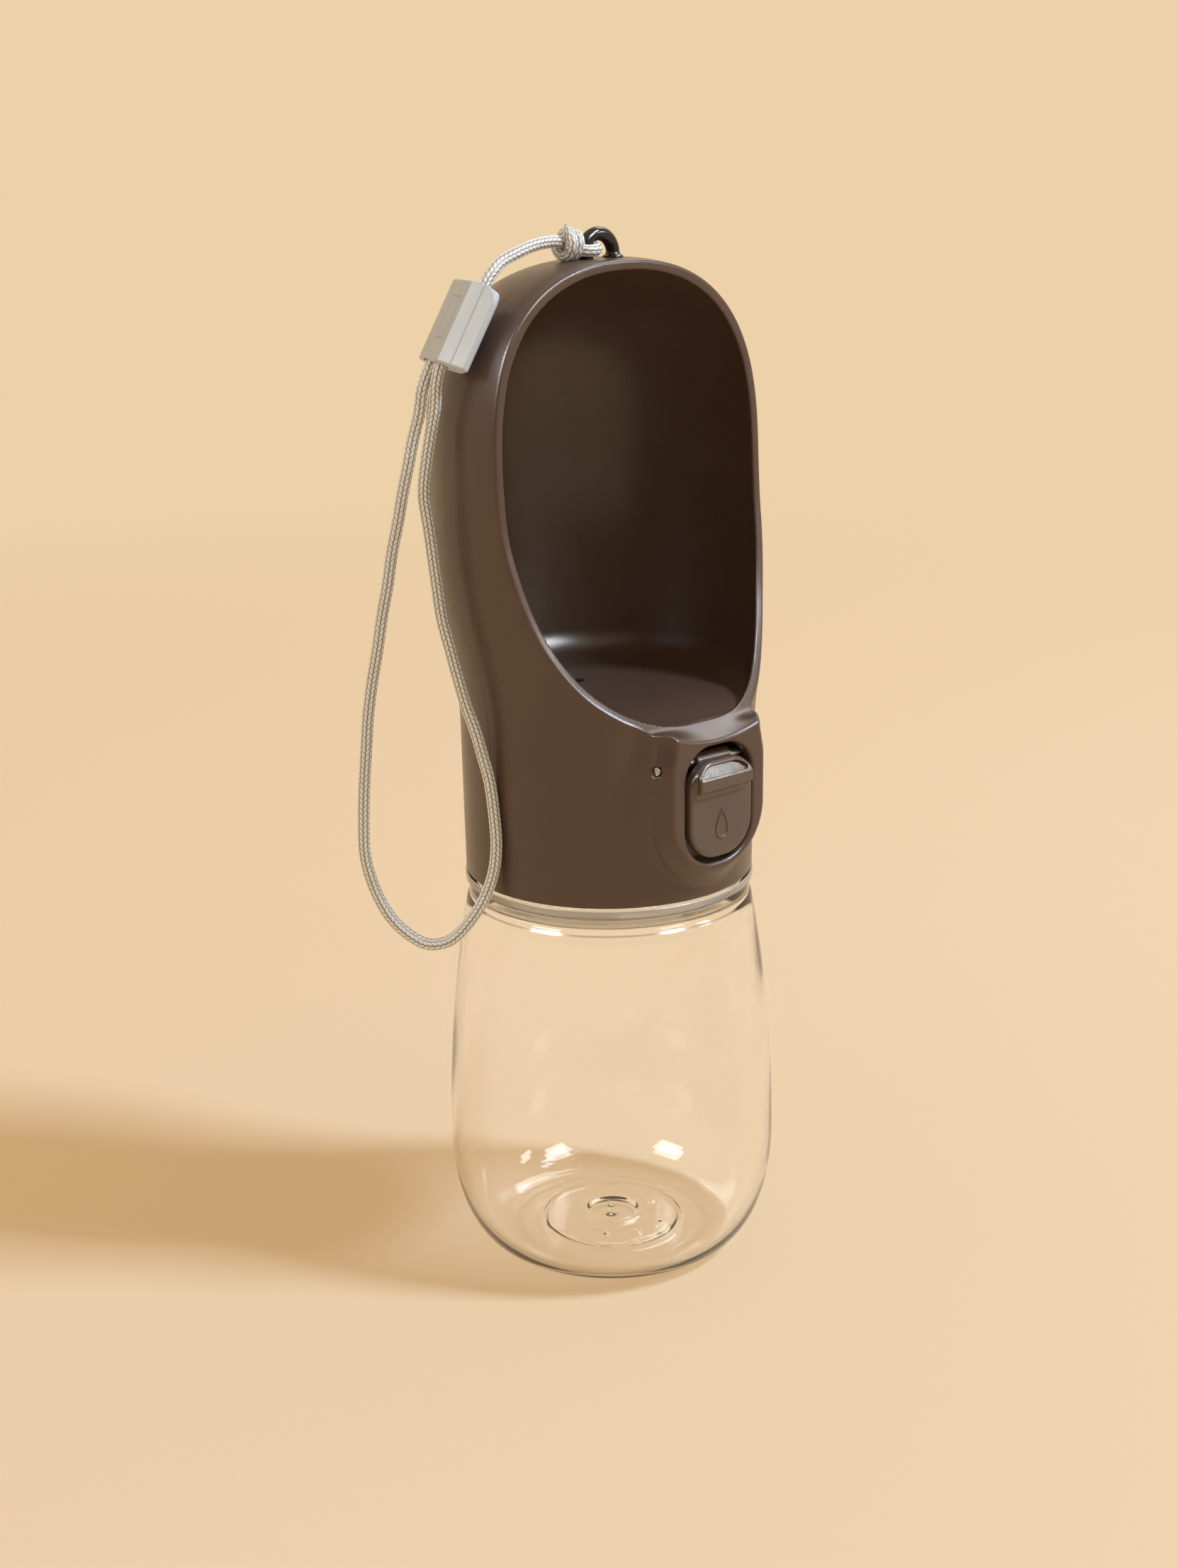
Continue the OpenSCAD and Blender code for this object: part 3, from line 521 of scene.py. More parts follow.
# The rim's curve seen from the side, from the straight upper part down to the lip.
rim_curve, _ = smooth_line([
    (0, -5.4, 255.0), (0, -7.4, 213.0), (0, -8.5, 190.0), (0, -9.57, 168.0),
    (0, -11.6, 157.5), (0, -14.6, 146.5), (0, -17.8, 139.0), (0, -21.4, 132.9),
    (0, -25.4, 128.2), (0, -27.8, 126.1), (0, -29.6, 124.9), (0, -34.6, 122.3),
    (0, -44.0, 117.4)], 0.8)
behind_rim = outline_field(
    np.concatenate([rim_curve[:, 1:], [[-44, 60], [60, 60], [60, 255]]]), step=0.25)


def arched(half_w, low, top, low_r, top_r):
    """The outline of a window or button, seen along Y."""
    p = []
    for cx, cz, r, a0 in (
            (half_w - low_r, low + low_r, low_r, -90), (half_w - top_r, top - top_r, top_r, 0),
            (-half_w + top_r, top - top_r, top_r, 90), (-half_w + low_r, low + low_r, low_r, 180)):
        for a in np.radians(np.linspace(a0, a0 + 90, 13)):
            p.append((cx + r * math.cos(a), cz + r * math.sin(a)))
    return p


window = outline_field(arched(WINDOW_W, WINDOW_LOW, WINDOW_TOP, 8, 7), step=0.1, margin=5)


def cylinder_z(x, y, z, cx, cy, r, low, high):
    """An upright cylinder of radius r at (cx, cy), from low to high."""
    return both(np.hypot(x - cx, y - cy) - r, np.maximum(low - z, z - high))


def ramp(v, length):
    """0 where v is below 0, 1 where it is past length, and smooth between them."""
    t = np.clip(v / length, 0, 1)
    return t * t * (3 - 2 * t)


def head_field(x, y, z):
    r = np.hypot(x, y)
    # The raised housing round the button: an arch seen from the front, with sloping flanks.
    side = np.where(z > ROUND_Z, np.abs(x), np.hypot(x, z - ROUND_Z)) - HOUSING_W
    side = side + TAPER * ramp(z - TAPER_Z, TAPER_H)
    depth = HOUSING_Y - y
    flank = np.maximum(0.817 * side + 0.577 * depth, side - 2.4)
    housing = both(both(depth, flank, 0.5), np.maximum(z - HOUSING_TOP, y + 12))
    d = both(either(skin(r, z), housing, 3.0), HEAD_Z - z, 0.45)
    d = carve(d, both(r - SKIRT_IN, z - UNDER_Z, 1.0), 0.4)
    # The bowl's floor falls a little towards the lip, and its fillet fades out there.
    front = ramp(-14 - y, 16)
    floor_z = FLOOR_Z - FLOOR_FALL * front
    fillet = 6.5 - 5.7 * ramp(-6 - y, 20)
    cut = both(bowl(r, z), floor_z - z, fillet)
    d = carve(d, cut)
    # The lip is lower in the middle than at its ends.
    dip = LIP_DIP * np.clip(np.abs(x) / 12.6, 0, 1.1) ** 2 * ramp(-29 - y, 5)
    d = both(d, behind_rim(y, z - dip), 0.5)
    for sx in (-BOSS_AT, BOSS_AT):
        for sy in (-BOSS_AT, BOSS_AT):
            d = either(d, cylinder_z(x, y, z, sx, sy, BOSS_R, 101.2, BOSS_TOP), 0.3)
            d = carve(d, cylinder_z(x, y, z, sx, sy, SCREW_HOLE_R, 95, 111.2))
    d = either(d, cylinder_z(x, y, z, 0, OUTLET_Y, OUTLET_BOSS_R, 120, BOSS_TOP), 0.3)
    d = carve(d, cylinder_z(x, y, z, 0, OUTLET_Y, TUBE_HOLE_R, 110, UNDER_Z))
    d = carve(d, cylinder_z(x, y, z, 0, OUTLET_Y, OUTLET_R, 120, 130), 0.35)
    d = carve(d, both(window(x, z), y + 25.9), 0.8)
    pin = np.hypot(y - PIN_Y, z - PIN_Z)
    return carve(d, pin - PIN_HOLE_R, 0.35)


head = net_of("head_shell_skin", head_field, (-38, -38, 87), (38, 38, 217), 0.45)


# ---- button ----

BUTTON_W, BUTTON_LOW, BUTTON_TOP = 8.6, 97.7, 118.4
BUTTON_Y, BUTTON_BACK, LEDGE_Y, LEDGE_BACK = -35.3, -33.3, -37.0, -34.3
HOOK_X = 4.5
button_shape = outline_field(
    arched(BUTTON_W, BUTTON_LOW, BUTTON_TOP, 7.35, 6), step=0.08, margin=4)
ledge_side = outline_field([
    (LEDGE_BACK, 111.6), (BUTTON_Y, 111.6), (-35.8, 112.0), (LEDGE_Y, 112.9),
    (LEDGE_Y, 115.0), (BUTTON_Y, BUTTON_TOP), (LEDGE_BACK, BUTTON_TOP)], step=0.08, margin=6)
drop_a = np.linspace(0, 2 * math.pi, 80, endpoint=False)
drop = outline_field(np.stack([
    2.15 * np.sin(drop_a) * np.sin(drop_a / 2) ** 1.3,
    104.9 + 3.1 * np.cos(drop_a)], 1), step=0.06, margin=3)


def button_field(x, y, z):
    shape = button_shape(x, z)
    d = both(both(shape, BUTTON_Y - y, 0.7), y - BUTTON_BACK, 0.15)
    ledge = both(both(shape + 0.15, ledge_side(y, z), 0.45), np.abs(x) - 7.3, 0.5)
    d = either(d, ledge, 0.7)
    # The dish in the top of the thumb ledge.
    top = (1.7 * (z - BUTTON_TOP) - 3.4 * (y - BUTTON_Y)) / 3.80
    dish = both(both(shape + 0.8, -36.55 - y, 0.3), -0.75 - top)
    d = carve(d, both(both(dish, np.abs(x) - 6.5, 0.8), y + 34.2), 0.2)
    # A generic raised outline of a water drop.
    line = both(np.abs(drop(x, z)) - 0.26, -0.28 + BUTTON_Y - y, 0.15)
    d = either(d, both(line, y - BUTTON_Y - 1), 0.12)
    # The two hooks on its back, which slide in the rocker.
    for side in (-1, 1):
        across = np.abs(x - side * HOOK_X)
        hook = np.maximum(across - 0.8, np.maximum(-33.5 - y, y + 31.6))
        foot = np.maximum(across - 1.5, np.maximum(-31.8 - y, y + 31.0))
        tall = np.maximum(103.2 - z, z - 105.6)
        d = either(d, np.maximum(np.minimum(hook, foot), tall), 0.1)
    return d


button = net_of("button_face", button_field, (-9, -37.6, 97), (9, -30.6, 119), 0.22)


# ---- lug ----

LUG_Y, LUG_HALF, ROD_R, LUG_LEG, LUG_FOOT_R = 1.5, 4.0, 1.4, 0.8, 2.15


def lug_field(x, y, z):
    y = y - LUG_Y
    up = z - HEAD_TOP - LUG_LEG
    from_leg = np.hypot(np.abs(x) - LUG_HALF, y)
    arc = np.where(up > 0, np.hypot(np.hypot(x, up) - LUG_HALF, y), from_leg) - ROD_R
    low = HEAD_TOP - z
    rod = both(arc, low - 0.1)
    foot = both(from_leg - LUG_FOOT_R, np.maximum(low - 0.1, z - HEAD_TOP - 0.35), 0.15)
    return either(rod, foot, 0.9)


lug = net_of("lug_loop", lug_field, (-7, -1.5, 215.5), (7, 4.5, 223), 0.22)


# ---- clip ----

CLIP_AT = (-34.4, 2.2, 204.6)
CLIP_TURN = (60.5, 7.5, -82.4)
CLIP_W, CLIP_L, CLIP_T, CLIP_SLOPE, CLIP_CORNER = 12.7, 17.2, 5.0, 12.0, 3.5
# The underside's two slopes: the side, how far from the middle each starts, its rounding.
CLIP_UNDER = ((1, 3.0, 0.5), (-1, 5.1, 0.3))
UNDER_ACROSS, UNDER_DOWN = 0.574, 0.819
# Each strand's hole: its place across the clip, and where it starts and ends along it.
CLIP_HOLES = ((1.5, 5.6, 12), (-3.6, -12, -5.6), (-0.9, -12, -5.6))


def clip_field(x, y, z):
    slope = math.radians(CLIP_SLOPE)
    roof = np.maximum(
        (z - CLIP_T / 2) * math.cos(slope) + x * math.sin(slope),
        (z - CLIP_T / 2) * math.cos(slope) - x * math.sin(slope))
    ends = np.abs(y) - CLIP_L / 2
    d = both(both(np.abs(x) - CLIP_W / 2, ends), -CLIP_T / 2 - z, 0.35)
    corner = both(x - CLIP_W / 2, y - CLIP_L / 2, CLIP_CORNER)
    corner2 = both(-x - CLIP_W / 2, y - CLIP_L / 2, 0.8)
    d = np.maximum(np.maximum(d, corner), corner2)
    d = both(d, roof, 0.4)
    # The underside slopes up to thin long edges.
    for side, start, soft in CLIP_UNDER:
        across = (side * x - start) * UNDER_ACROSS
        d = both(d, across - (z + CLIP_T / 2) * UNDER_DOWN, soft)
    # A fine frame and a groove on the two upper faces.
    frame_x, frame_y = np.abs(x + 2.6) - 1.25, np.abs(y - 0.6) - 4.4
    ring = np.abs(np.maximum(frame_x, frame_y)) - 0.14
    d = carve(d, both(ring, -0.16 - roof), 0.08)
    d = carve(d, both(np.abs(x - 2.9) - 0.11, -0.1 - roof), 0.05)
    for cx, low, high in CLIP_HOLES:
        hole = both(np.hypot(x - cx, z) - CORD_R - 0.2, np.maximum(low - y, y - high))
        d = carve(d, hole, 0.2)
    return d


clip = net_of("cord_joiner", clip_field, (-6.5, -8.8, -2.7), (6.5, 8.8, 2.7), 0.25)
clip.data.transform(
    Matrix.Translation(Vector(CLIP_AT) * MM)
    @ Euler([math.radians(a) for a in CLIP_TURN], "XYZ").to_matrix().to_4x4())


# ---- knot ----

TURN_R = ROD_R + CORD_R + 0.1
turn_c = np.array([-LUG_HALF, LUG_Y, HEAD_TOP + 2.2])
turn_path = [[-9.4, 2.8, 218.9]] + [
    turn_c + [TURN_R * math.cos(a), TURN_R * math.sin(a), 0.5 * math.sin(a)]
    for a in np.radians(np.linspace(140, -140, 15))] + [[-9.4, 0.6, 218.7]]
knot_turn, _ = braided("knot_turn", turn_path, CORD_R * 0.97, step=0.2,
                       plane=np.array([0.05, 0.02, 1]))
wrap_path = []
WRAP_STEPS = 40
for i in range(WRAP_STEPS + 1):
    t = i / WRAP_STEPS
    a = math.radians(-60 + 800 * t)
    r = 2.0 + 0.35 * math.sin(3.1 * t)
    wrap_path.append([-5.6 - 3.6 * t, 1.7 + r * math.cos(a), 218.8 + r * math.sin(a)])
knot_wrap, _ = braided("knot_wrap", wrap_path, CORD_R * 0.92, step=0.2,
                       plane=np.array([1, 0.02, 0.05]))
tail_path = [[-8.3, 1.0, 219.6], [-8.8, 0.6, 221.0], [-9.0, 0.5, 221.9], [-9.2, 0.4, 222.8]]
knot_tail, _ = braided("knot_tail", tail_path, 1.15, step=0.2, plane=np.array([0.9, 0.3, 0.1]),
                       taper=lambda t: 1.0 - 0.72 * t ** 2)


# ---- valve spring ----

WIRE_R, SPRING_R, SPRING_TURNS = 0.35, 3.0, 6
# In metres: the end that stays put, and how far the valve's stem moves.
spring_low, spring_high = (np.array(v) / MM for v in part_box("valve_spring"))
spring_z = (spring_low[2] + spring_high[2]) / 2
spring_t = np.linspace(0, 1, SPRING_TURNS * 28 + 1)
# The first and last turns lie flat against what they press on.
spring_y = np.interp(spring_t, [0, 0.13, 0.87, 1], [0, 0.06, 0.94, 1])
spring_y = spring_low[1] + WIRE_R + (spring_high[1] - spring_low[1] - 2 * WIRE_R) * spring_y
spring_a = 2 * math.pi * SPRING_TURNS * spring_t
spring_path = np.stack(
    [SPRING_R * np.cos(spring_a), spring_y, spring_z + SPRING_R * np.sin(spring_a)], 1)
spring, _ = braided("spring_coil", spring_path, WIRE_R, depth=0.0, sides=14, step=0.5,
                    plane=np.array([0.0, 1.0, 0.0]))


# ---- materials ----

def material(name, color, rough, metal=0.0, **extra):
    mat = bpy.data.materials.new(name)
    mat.use_nodes = True
    tree = mat.node_tree
    shader = tree.nodes["Principled BSDF"]
    shader.inputs["Base Color"].default_value = (*color, 1)
    shader.inputs["Roughness"].default_value = rough
    shader.inputs["Metallic"].default_value = metal
    for key, value in extra.items():
        shader.inputs[key.replace("_", " ")].default_value = value
    return mat, tree, shader


def node(tree, kind, **values):
    made = tree.nodes.new(kind)
    for key, value in values.items():
        if key in made.inputs:
            made.inputs[key].default_value = value
        else:
            setattr(made, key, value)
    return made


def link(tree, a, out, b, into):
    tree.links.new(a.outputs[out], b.inputs[into])


def map_range(tree, low, high, to_low, to_high, **extra):
    """A node that turns the values low to high into to_low to to_high."""
    return node(tree, "ShaderNodeMapRange", **extra, **{
        "From Min": low, "From Max": high, "To Min": to_low, "To Max": to_high})


def noise(tree, coords, scale, detail=2.0, rough=0.5):
    n = node(tree, "ShaderNodeTexNoise", Scale=scale, Detail=detail, Roughness=rough)
    link(tree, coords, "Object", n, "Vector")
    return n


def grained(name, color, rough, grain, depth, tint=0.18, spread=0.07, speck=0.0, **extra):
    """Moulded plastic with a fine spark texture, slight mottling and uneven gloss."""
    mat, tree, shader = material(name, color, rough, **extra)
    coords = node(tree, "ShaderNodeTexCoord")
    fine = noise(tree, coords, grain, detail=1.5)
    broad = noise(tree, coords, 90, detail=3.0, rough=0.55)
    mix = node(tree, "ShaderNodeMix", data_type="RGBA")
    mix.inputs["A"].default_value = (*[c * (1 - tint) for c in color], 1)
    mix.inputs["B"].default_value = (*[min(1, c * (1 + tint)) for c in color], 1)
    link(tree, broad, "Fac", mix, "Factor")
    last = mix
    if speck:
        spark = map_range(tree, 0.66, 0.78, 0.0, speck)
        link(tree, fine, "Fac", spark, "Value")
        bright = node(tree, "ShaderNodeMix", data_type="RGBA")
        bright.inputs["B"].default_value = (*[min(1, c * 1.9 + 0.01) for c in color], 1)
        tree.links.new(mix.outputs["Result"], bright.inputs["A"])
        link(tree, spark, "Result", bright, "Factor")
        last = bright
    tree.links.new(last.outputs["Result"], shader.inputs["Base Color"])
    gloss = map_range(tree, 0.3, 0.7, rough - spread, rough + spread)
    link(tree, broad, "Fac", gloss, "Value")
    link(tree, gloss, "Result", shader, "Roughness")
    bump = node(tree, "ShaderNodeBump", Strength=depth, Distance=0.0001)
    link(tree, fine, "Fac", bump, "Height")
    link(tree, bump, "Normal", shader, "Normal")
    return mat, tree, shader, coords, bump


HEAD_LOOK = dict(color=(0.098, 0.060, 0.045), rough=0.3, grain=2300, depth=0.09, tint=0.06,
                 spread=0.03)
head_mat = grained("head_plastic_look", **HEAD_LOOK)[0]
seam_mat, tree, shader, coords, bump = grained("head_parting_line_look", **HEAD_LOOK)
# The mould's parting line down both sides of the head, in metres.
SEAM_Y, SEAM_HALF, SEAM_EDGE = 0.001, 0.00006, 0.00018
parts = node(tree, "ShaderNodeSeparateXYZ")
link(tree, coords, "Object", parts, "Vector")
offset = node(tree, "ShaderNodeMath", operation="SUBTRACT")
offset.inputs[1].default_value = SEAM_Y
link(tree, parts, "Y", offset, 0)
size = node(tree, "ShaderNodeMath", operation="ABSOLUTE")
link(tree, offset, "Value", size, 0)
seam = map_range(tree, SEAM_HALF, SEAM_EDGE, 1.0, 0.0)
link(tree, size, "Value", seam, "Value")
seam_bump = node(tree, "ShaderNodeBump", Strength=0.8, Distance=0.00015)
link(tree, seam, "Result", seam_bump, "Height")
link(tree, bump, "Normal", seam_bump, "Normal")
link(tree, seam_bump, "Normal", shader, "Normal")
plain = shader.inputs["Base Color"].links[0].from_socket
dark = node(tree, "ShaderNodeMix", data_type="RGBA")
dark.inputs["B"].default_value = (0.03, 0.023, 0.018, 1)
half = node(tree, "ShaderNodeMath", operation="MULTIPLY")
half.inputs[1].default_value = 0.6
link(tree, seam, "Result", half, 0)
link(tree, half, "Value", dark, "Factor")
tree.links.new(plain, dark.inputs["A"])
tree.links.new(dark.outputs["Result"], shader.inputs["Base Color"])

button_mat = grained("button_plastic_look", (0.122, 0.086, 0.067), 0.26,
                     grain=1900, depth=0.3, tint=0.08, speck=0.3)[0]
inner_mat = grained("inner_plastic_look", (0.62, 0.61, 0.58), 0.5,
                    grain=1500, depth=0.1, tint=0.05)[0]
lug_mat = grained("lug_plastic_look", (0.012, 0.012, 0.013), 0.14,
                  grain=900, depth=0.05, spread=0.03)[0]
clip_mat = grained("clip_plastic_look", (0.56, 0.63, 0.72), 0.5,
                   grain=1800, depth=0.12, tint=0.04)[0]
rubber_mat = grained("silicone_look", (0.6, 0.62, 0.63), 0.45,
                     grain=1200, depth=0.08, tint=0.05, Subsurface_Weight=0.15)[0]

steel_mat, tree, shader = material("steel_look", (0.62, 0.61, 0.60), 0.28, 1.0)
coords = node(tree, "ShaderNodeTexCoord")
scratch = noise(tree, coords, 1400)
rough = map_range(tree, 0, 1, 0.18, 0.4)
link(tree, scratch, "Fac", rough, "Value")
link(tree, rough, "Result", shader, "Roughness")


def clear_plastic(name, color, rough_low, rough_high, clear=1.0):
    """Clear plastic. Lamps shine through it and leave a faint shadow, darker at its edges."""
    mat, tree, shader = material(name, color, rough_low, IOR=1.5, Transmission_Weight=clear)
    coords = node(tree, "ShaderNodeTexCoord")
    wave = noise(tree, coords, 40, detail=1.0)
    rough = map_range(tree, 0, 1, rough_low, rough_high)
    link(tree, wave, "Fac", rough, "Value")
    link(tree, rough, "Result", shader, "Roughness")
    bump = node(tree, "ShaderNodeBump", Strength=0.06, Distance=0.0004)
    link(tree, wave, "Fac", bump, "Height")
    link(tree, bump, "Normal", shader, "Normal")
    facing = node(tree, "ShaderNodeLayerWeight", Blend=0.28)
    dim = map_range(tree, 0, 1, 0.90, 0.3)
    link(tree, facing, "Facing", dim, "Value")
    through = node(tree, "ShaderNodeBsdfTransparent")
    link(tree, dim, "Result", through, "Color")
    rays = node(tree, "ShaderNodeLightPath")
    mix = node(tree, "ShaderNodeMixShader")
    link(tree, rays, "Is Shadow Ray", mix, 0)
    tree.links.new(shader.outputs[0], mix.inputs[1])
    tree.links.new(through.outputs[0], mix.inputs[2])
    tree.links.new(mix.outputs[0], tree.nodes["Material Output"].inputs["Surface"])
    return mat


glass_mat = clear_plastic("clear_bottle_look", (1, 1, 1), 0.0, 0.03)
edge_mat = clear_plastic(
    "clear_bottle_edge_look", (0.97, 0.94, 0.95), 0.12, 0.2, clear=0.72)
# A dim, dark-tinted clear plastic for thin edges: painted dark lines, as painted shade.
painted_dark_line_mat = clear_plastic("clear_bottle_painted_dark_line_look", (0.42, 0.37, 0.34), 0.1, 0.2)

cord_mat, tree, shader = material(
    "cord_look", (0.62, 0.61, 0.6), 0.42,
    Specular_IOR_Level=0.9, Sheen_Weight=0.35, Sheen_Roughness=0.4)
coords = node(tree, "ShaderNodeTexCoord")
fibre_map = node(tree, "ShaderNodeMapping")
fibre_map.inputs["Scale"].default_value = (60, 260, 1)
link(tree, coords, "UV", fibre_map, "Vector")
fibre = node(tree, "ShaderNodeTexNoise", Scale=1.0, Detail=3.0)
link(tree, fibre_map, "Vector", fibre, "Vector")
# The gaps between the stitches are painted darker from the braid's height: painted shade. The fibre
# noise adds the yarn's own uneven tone.
level = node(tree, "ShaderNodeVertexColor", layer_name="braid")
shade = node(tree, "ShaderNodeValToRGB")
shade.color_ramp.elements[0].position = 0.2
shade.color_ramp.elements[0].color = (0.23, 0.22, 0.22, 1)
shade.color_ramp.elements[1].position = 0.62
shade.color_ramp.elements[1].color = (0.94, 0.98, 1.0, 1)
link(tree, level, "Color", shade, "Fac")
yarn_tone_and_painted_shade = node(tree, "ShaderNodeMix", data_type="RGBA", blend_type="MULTIPLY")
yarn_tone_and_painted_shade.inputs["Factor"].default_value = 0.35
tree.links.new(shade.outputs["Color"], yarn_tone_and_painted_shade.inputs["A"])
tint = node(tree, "ShaderNodeValToRGB")
tint.color_ramp.elements[0].color = (0.88, 0.88, 0.88, 1)
link(tree, fibre, "Fac", tint, "Fac")
tree.links.new(tint.outputs["Color"], yarn_tone_and_painted_shade.inputs["B"])
tree.links.new(yarn_tone_and_painted_shade.outputs["Result"], shader.inputs["Base Color"])
bump = node(tree, "ShaderNodeBump", Strength=0.4, Distance=0.00008)
link(tree, fibre, "Fac", bump, "Height")
link(tree, bump, "Normal", shader, "Normal")


def dress(obj, mat):
    obj.data.materials.clear()
    obj.data.materials.append(mat)


# ---- assembly ----

for obj, body, slot, mat, replaced in (
        (bottle, "bottle", "clear_bottle", glass_mat, ["bottle"]),
        (neck_thread, "bottle", "clear_bottle", glass_mat, []),
        (head, "head", "head_plastic", head_mat, ["head_shell"]),
        (button, "button", "button_plastic", button_mat, ["button_cap"]),
        (lug, "head", "lug_plastic", lug_mat, ["lanyard_lug"]),
        (clip, "head", "clip_plastic", clip_mat, ["cord_clip"]),
        (knot_turn, "head", "cord_braid", cord_mat, ["cord_knot"]),
        (knot_wrap, "head", "cord_braid", cord_mat, []),
        (knot_tail, "head", "cord_braid", cord_mat, []),
        (spring, "head", "steel", steel_mat, ["valve_spring"]),
        (lead, "head", "cord_braid", cord_mat, ["cord_lead"]),
        (loop, "head", "cord_braid", cord_mat, ["cord_loop"])):
    dress(obj, mat)
    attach(obj, body)
    if replaced:
        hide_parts(*replaced)
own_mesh(spring)
# The parting line shows only on the outside of the head.
head.data.materials.append(seam_mat)
middles = np.zeros(3 * len(head.data.polygons))
facings = np.zeros(3 * len(head.data.polygons))
head.data.polygons.foreach_get("center", middles)
head.data.polygons.foreach_get("normal", facings)
middles, facings = middles.reshape(-1, 3), facings.reshape(-1, 3)
outward = (middles[:, :2] * facings[:, :2]).sum(1)
outside = outward > 0.6 * np.hypot(middles[:, 0], middles[:, 1])
outside &= (np.abs(middles[:, 1] - SEAM_Y) < 0.003) & (middles[:, 2] > 0.1)
head.data.polygons.foreach_set("material_index", outside.astype(np.int32))
# The flange's edge is less polished than the rest of the bottle. Its lower corner, and the
# step at the shoulder, get painted dark lines: a dim, dark-tinted clear plastic that stands
# in for shade there.
bottle.data.materials.append(edge_mat)
bottle.data.materials.append(painted_dark_line_mat)
EDGE, PAINTED_DARK_LINE = 1, 2
for poly in bottle.data.polygons:
    middle = poly.center / MM
    if FLANGE_LOW - 0.1 < middle.z < FLANGE_TOP + 0.1 and middle.xy.length > GROOVE_R + 0.1:
        poly.material_index = PAINTED_DARK_LINE if middle.z < FLANGE_LOW + 0.2 else EDGE
    elif STEP_LOW + 0.01 < middle.z < STEP_HIGH - 0.01 and middle.xy.length > GROOVE_R:
        poly.material_index = PAINTED_DARK_LINE
for obj in (bottle, neck_thread):
    obj.visible_diffuse = False

for name, mat in (
        ("neck_gasket", rubber_mat), ("neck_sleeve", inner_mat), ("valve_plate", inner_mat),
        ("plate_screws", steel_mat), ("valve_body", inner_mat), ("stem_gland", inner_mat),
        ("stem_seal", rubber_mat), ("inlet_seal", rubber_mat), ("valve_stem", steel_mat),
        ("valve_plug", rubber_mat), ("valve_cap", inner_mat),
        ("outlet_tube", rubber_mat), ("rocker", button_mat), ("rocker_pin", steel_mat)):
    dress(nodes[name], mat)

lead_run = float(np.linalg.norm(np.diff(lead_line, axis=0), axis=1).sum()) * MM
loop_run = float(np.linalg.norm(np.diff(loop_line, axis=0), axis=1).sum()) * MM


# ---- floor, backdrop and light ----

BACK = (0.845, 0.638, 0.395)
FLOOR_R = 6000
segments, rings = 96, 24
disc = [(0, 0, 0)]
for i in range(1, rings + 1):
    r = FLOOR_R * (i / rings) ** 2
    for k in range(segments):
        a = 2 * math.pi * k / segments
        disc.append((r * math.cos(a), r * math.sin(a), 0))
disc_faces = [(0, 1 + k, 1 + (k + 1) % segments) for k in range(segments)]
for i in range(rings - 1):
    a, b = 1 + i * segments, 1 + (i + 1) * segments
    disc_faces += [(a + k, b + k, b + (k + 1) % segments, a + (k + 1) % segments)
                   for k in range(segments)]
floor = new_object("floor", disc, disc_faces)
floor_mat, tree, shader = material(
    "floor_look", (0.807, 0.665, 0.475), 0.9, Specular_IOR_Level=0.0)
coords = node(tree, "ShaderNodeTexCoord")
away = node(tree, "ShaderNodeVectorMath", operation="LENGTH")
link(tree, coords, "Object", away, "Vector")
# Far out, the floor turns into the plain colour of the backdrop.
fade = map_range(tree, 0.35, 1.1, 0, 1, interpolation_type="SMOOTHSTEP")
link(tree, away, "Value", fade, "Value")
glow = node(tree, "ShaderNodeEmission", Strength=1.0)
glow.inputs["Color"].default_value = (*BACK, 1)
mix = node(tree, "ShaderNodeMixShader")
link(tree, fade, "Result", mix, 0)
tree.links.new(shader.outputs[0], mix.inputs[1])
tree.links.new(glow.outputs[0], mix.inputs[2])
tree.links.new(mix.outputs[0], tree.nodes["Material Output"].inputs["Surface"])
paper = noise(tree, coords, 500, detail=4.0)
bump = node(tree, "ShaderNodeBump", Strength=0.05, Distance=0.0005)
link(tree, paper, "Fac", bump, "Height")
link(tree, bump, "Normal", shader, "Normal")
dress(floor, floor_mat)

world = bpy.data.worlds.new("world")
scene.world = world
world.use_nodes = True
tree = world.node_tree
back = tree.nodes["Background"]
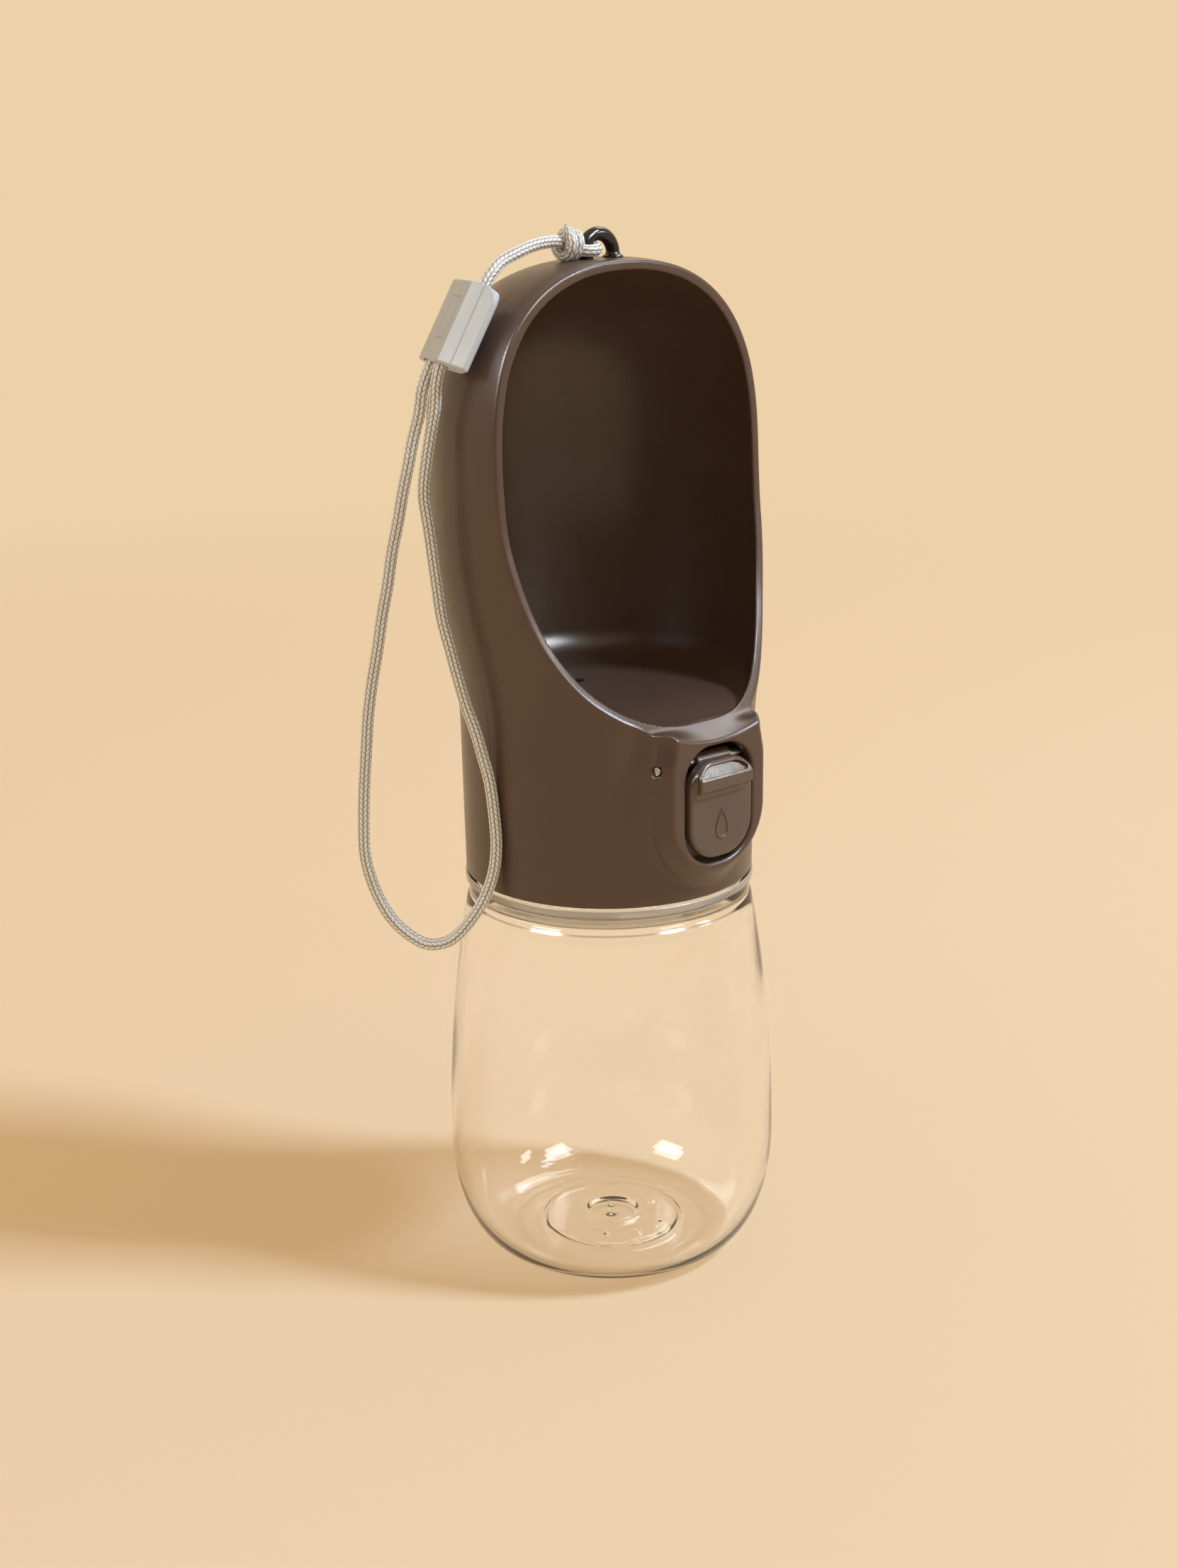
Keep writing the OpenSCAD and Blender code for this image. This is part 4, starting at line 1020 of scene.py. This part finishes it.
# The room is bright all round except in front of the bowl, where the camera stands.
coords = node(tree, "ShaderNodeTexCoord")
slant = node(tree, "ShaderNodeVectorMath", operation="DOT_PRODUCT")
slant.inputs[1].default_value = (0.5, 0.6, 0.62)
link(tree, coords, "Generated", slant, 0)
level = map_range(tree, -0.75, 0.15, 0.06, 1.0, interpolation_type="SMOOTHSTEP")
link(tree, slant, "Value", level, "Value")
back.inputs["Color"].default_value = (0.832, 0.632, 0.415, 1)
link(tree, level, "Result", back, "Strength")
seen = node(tree, "ShaderNodeBackground", Strength=1.0)
seen.inputs["Color"].default_value = (*BACK, 1)
path = node(tree, "ShaderNodeLightPath")
mix = node(tree, "ShaderNodeMixShader")
direct = node(tree, "ShaderNodeMath", operation="MAXIMUM")
link(tree, path, "Is Camera Ray", direct, 0)
link(tree, path, "Is Transmission Ray", direct, 1)
link(tree, direct, "Value", mix, 0)
tree.links.new(back.outputs[0], mix.inputs[1])
tree.links.new(seen.outputs[0], mix.inputs[2])
tree.links.new(mix.outputs[0], tree.nodes["World Output"].inputs["Surface"])


def lamp(name, place, aim, size, power, color):
    data = bpy.data.lights.new(name, "AREA")
    data.shape = "RECTANGLE"
    data.size, data.size_y = size
    data.energy = power
    data.color = color
    obj = bpy.data.objects.new(name, data)
    scene.collection.objects.link(obj)
    obj.location = place
    obj.rotation_mode = "QUATERNION"
    obj.rotation_quaternion = (Vector(aim) - Vector(place)).to_track_quat("-Z", "Y")
    return obj


def toward(azimuth, elevation, distance):
    """A place that far from the origin, with both angles in degrees."""
    a, e = math.radians(azimuth), math.radians(elevation)
    return (distance * math.cos(a) * math.cos(e), distance * math.sin(a) * math.cos(e),
            distance * math.sin(e))


lamp("key", toward(-51, 50, 3.0), (0, 0, 0.08), (0.5, 0.35), 59, (0.62, 0.79, 1.0))
# Four reflecting cards that only show in gloss.
for name, place, size, power, color in (
        ("front_card", toward(-74, 42, 2.6), (0.8, 0.8), 60, (0.88, 0.95, 1.0)),
        ("back_card", toward(20, 50, 2.6), (0.9, 0.9), 14, (0.9, 0.95, 1.0)),
        ("low_card", toward(-47, 25, 2.6), (0.5, 0.25), 10, (0.9, 0.95, 1.0)),
        ("side_card", toward(172, 38, 2.4), (0.9, 0.7), 60, (0.88, 0.95, 1.0))):
    lamp(name, place, (0, 0, 0.12), size, power, color).visible_diffuse = False
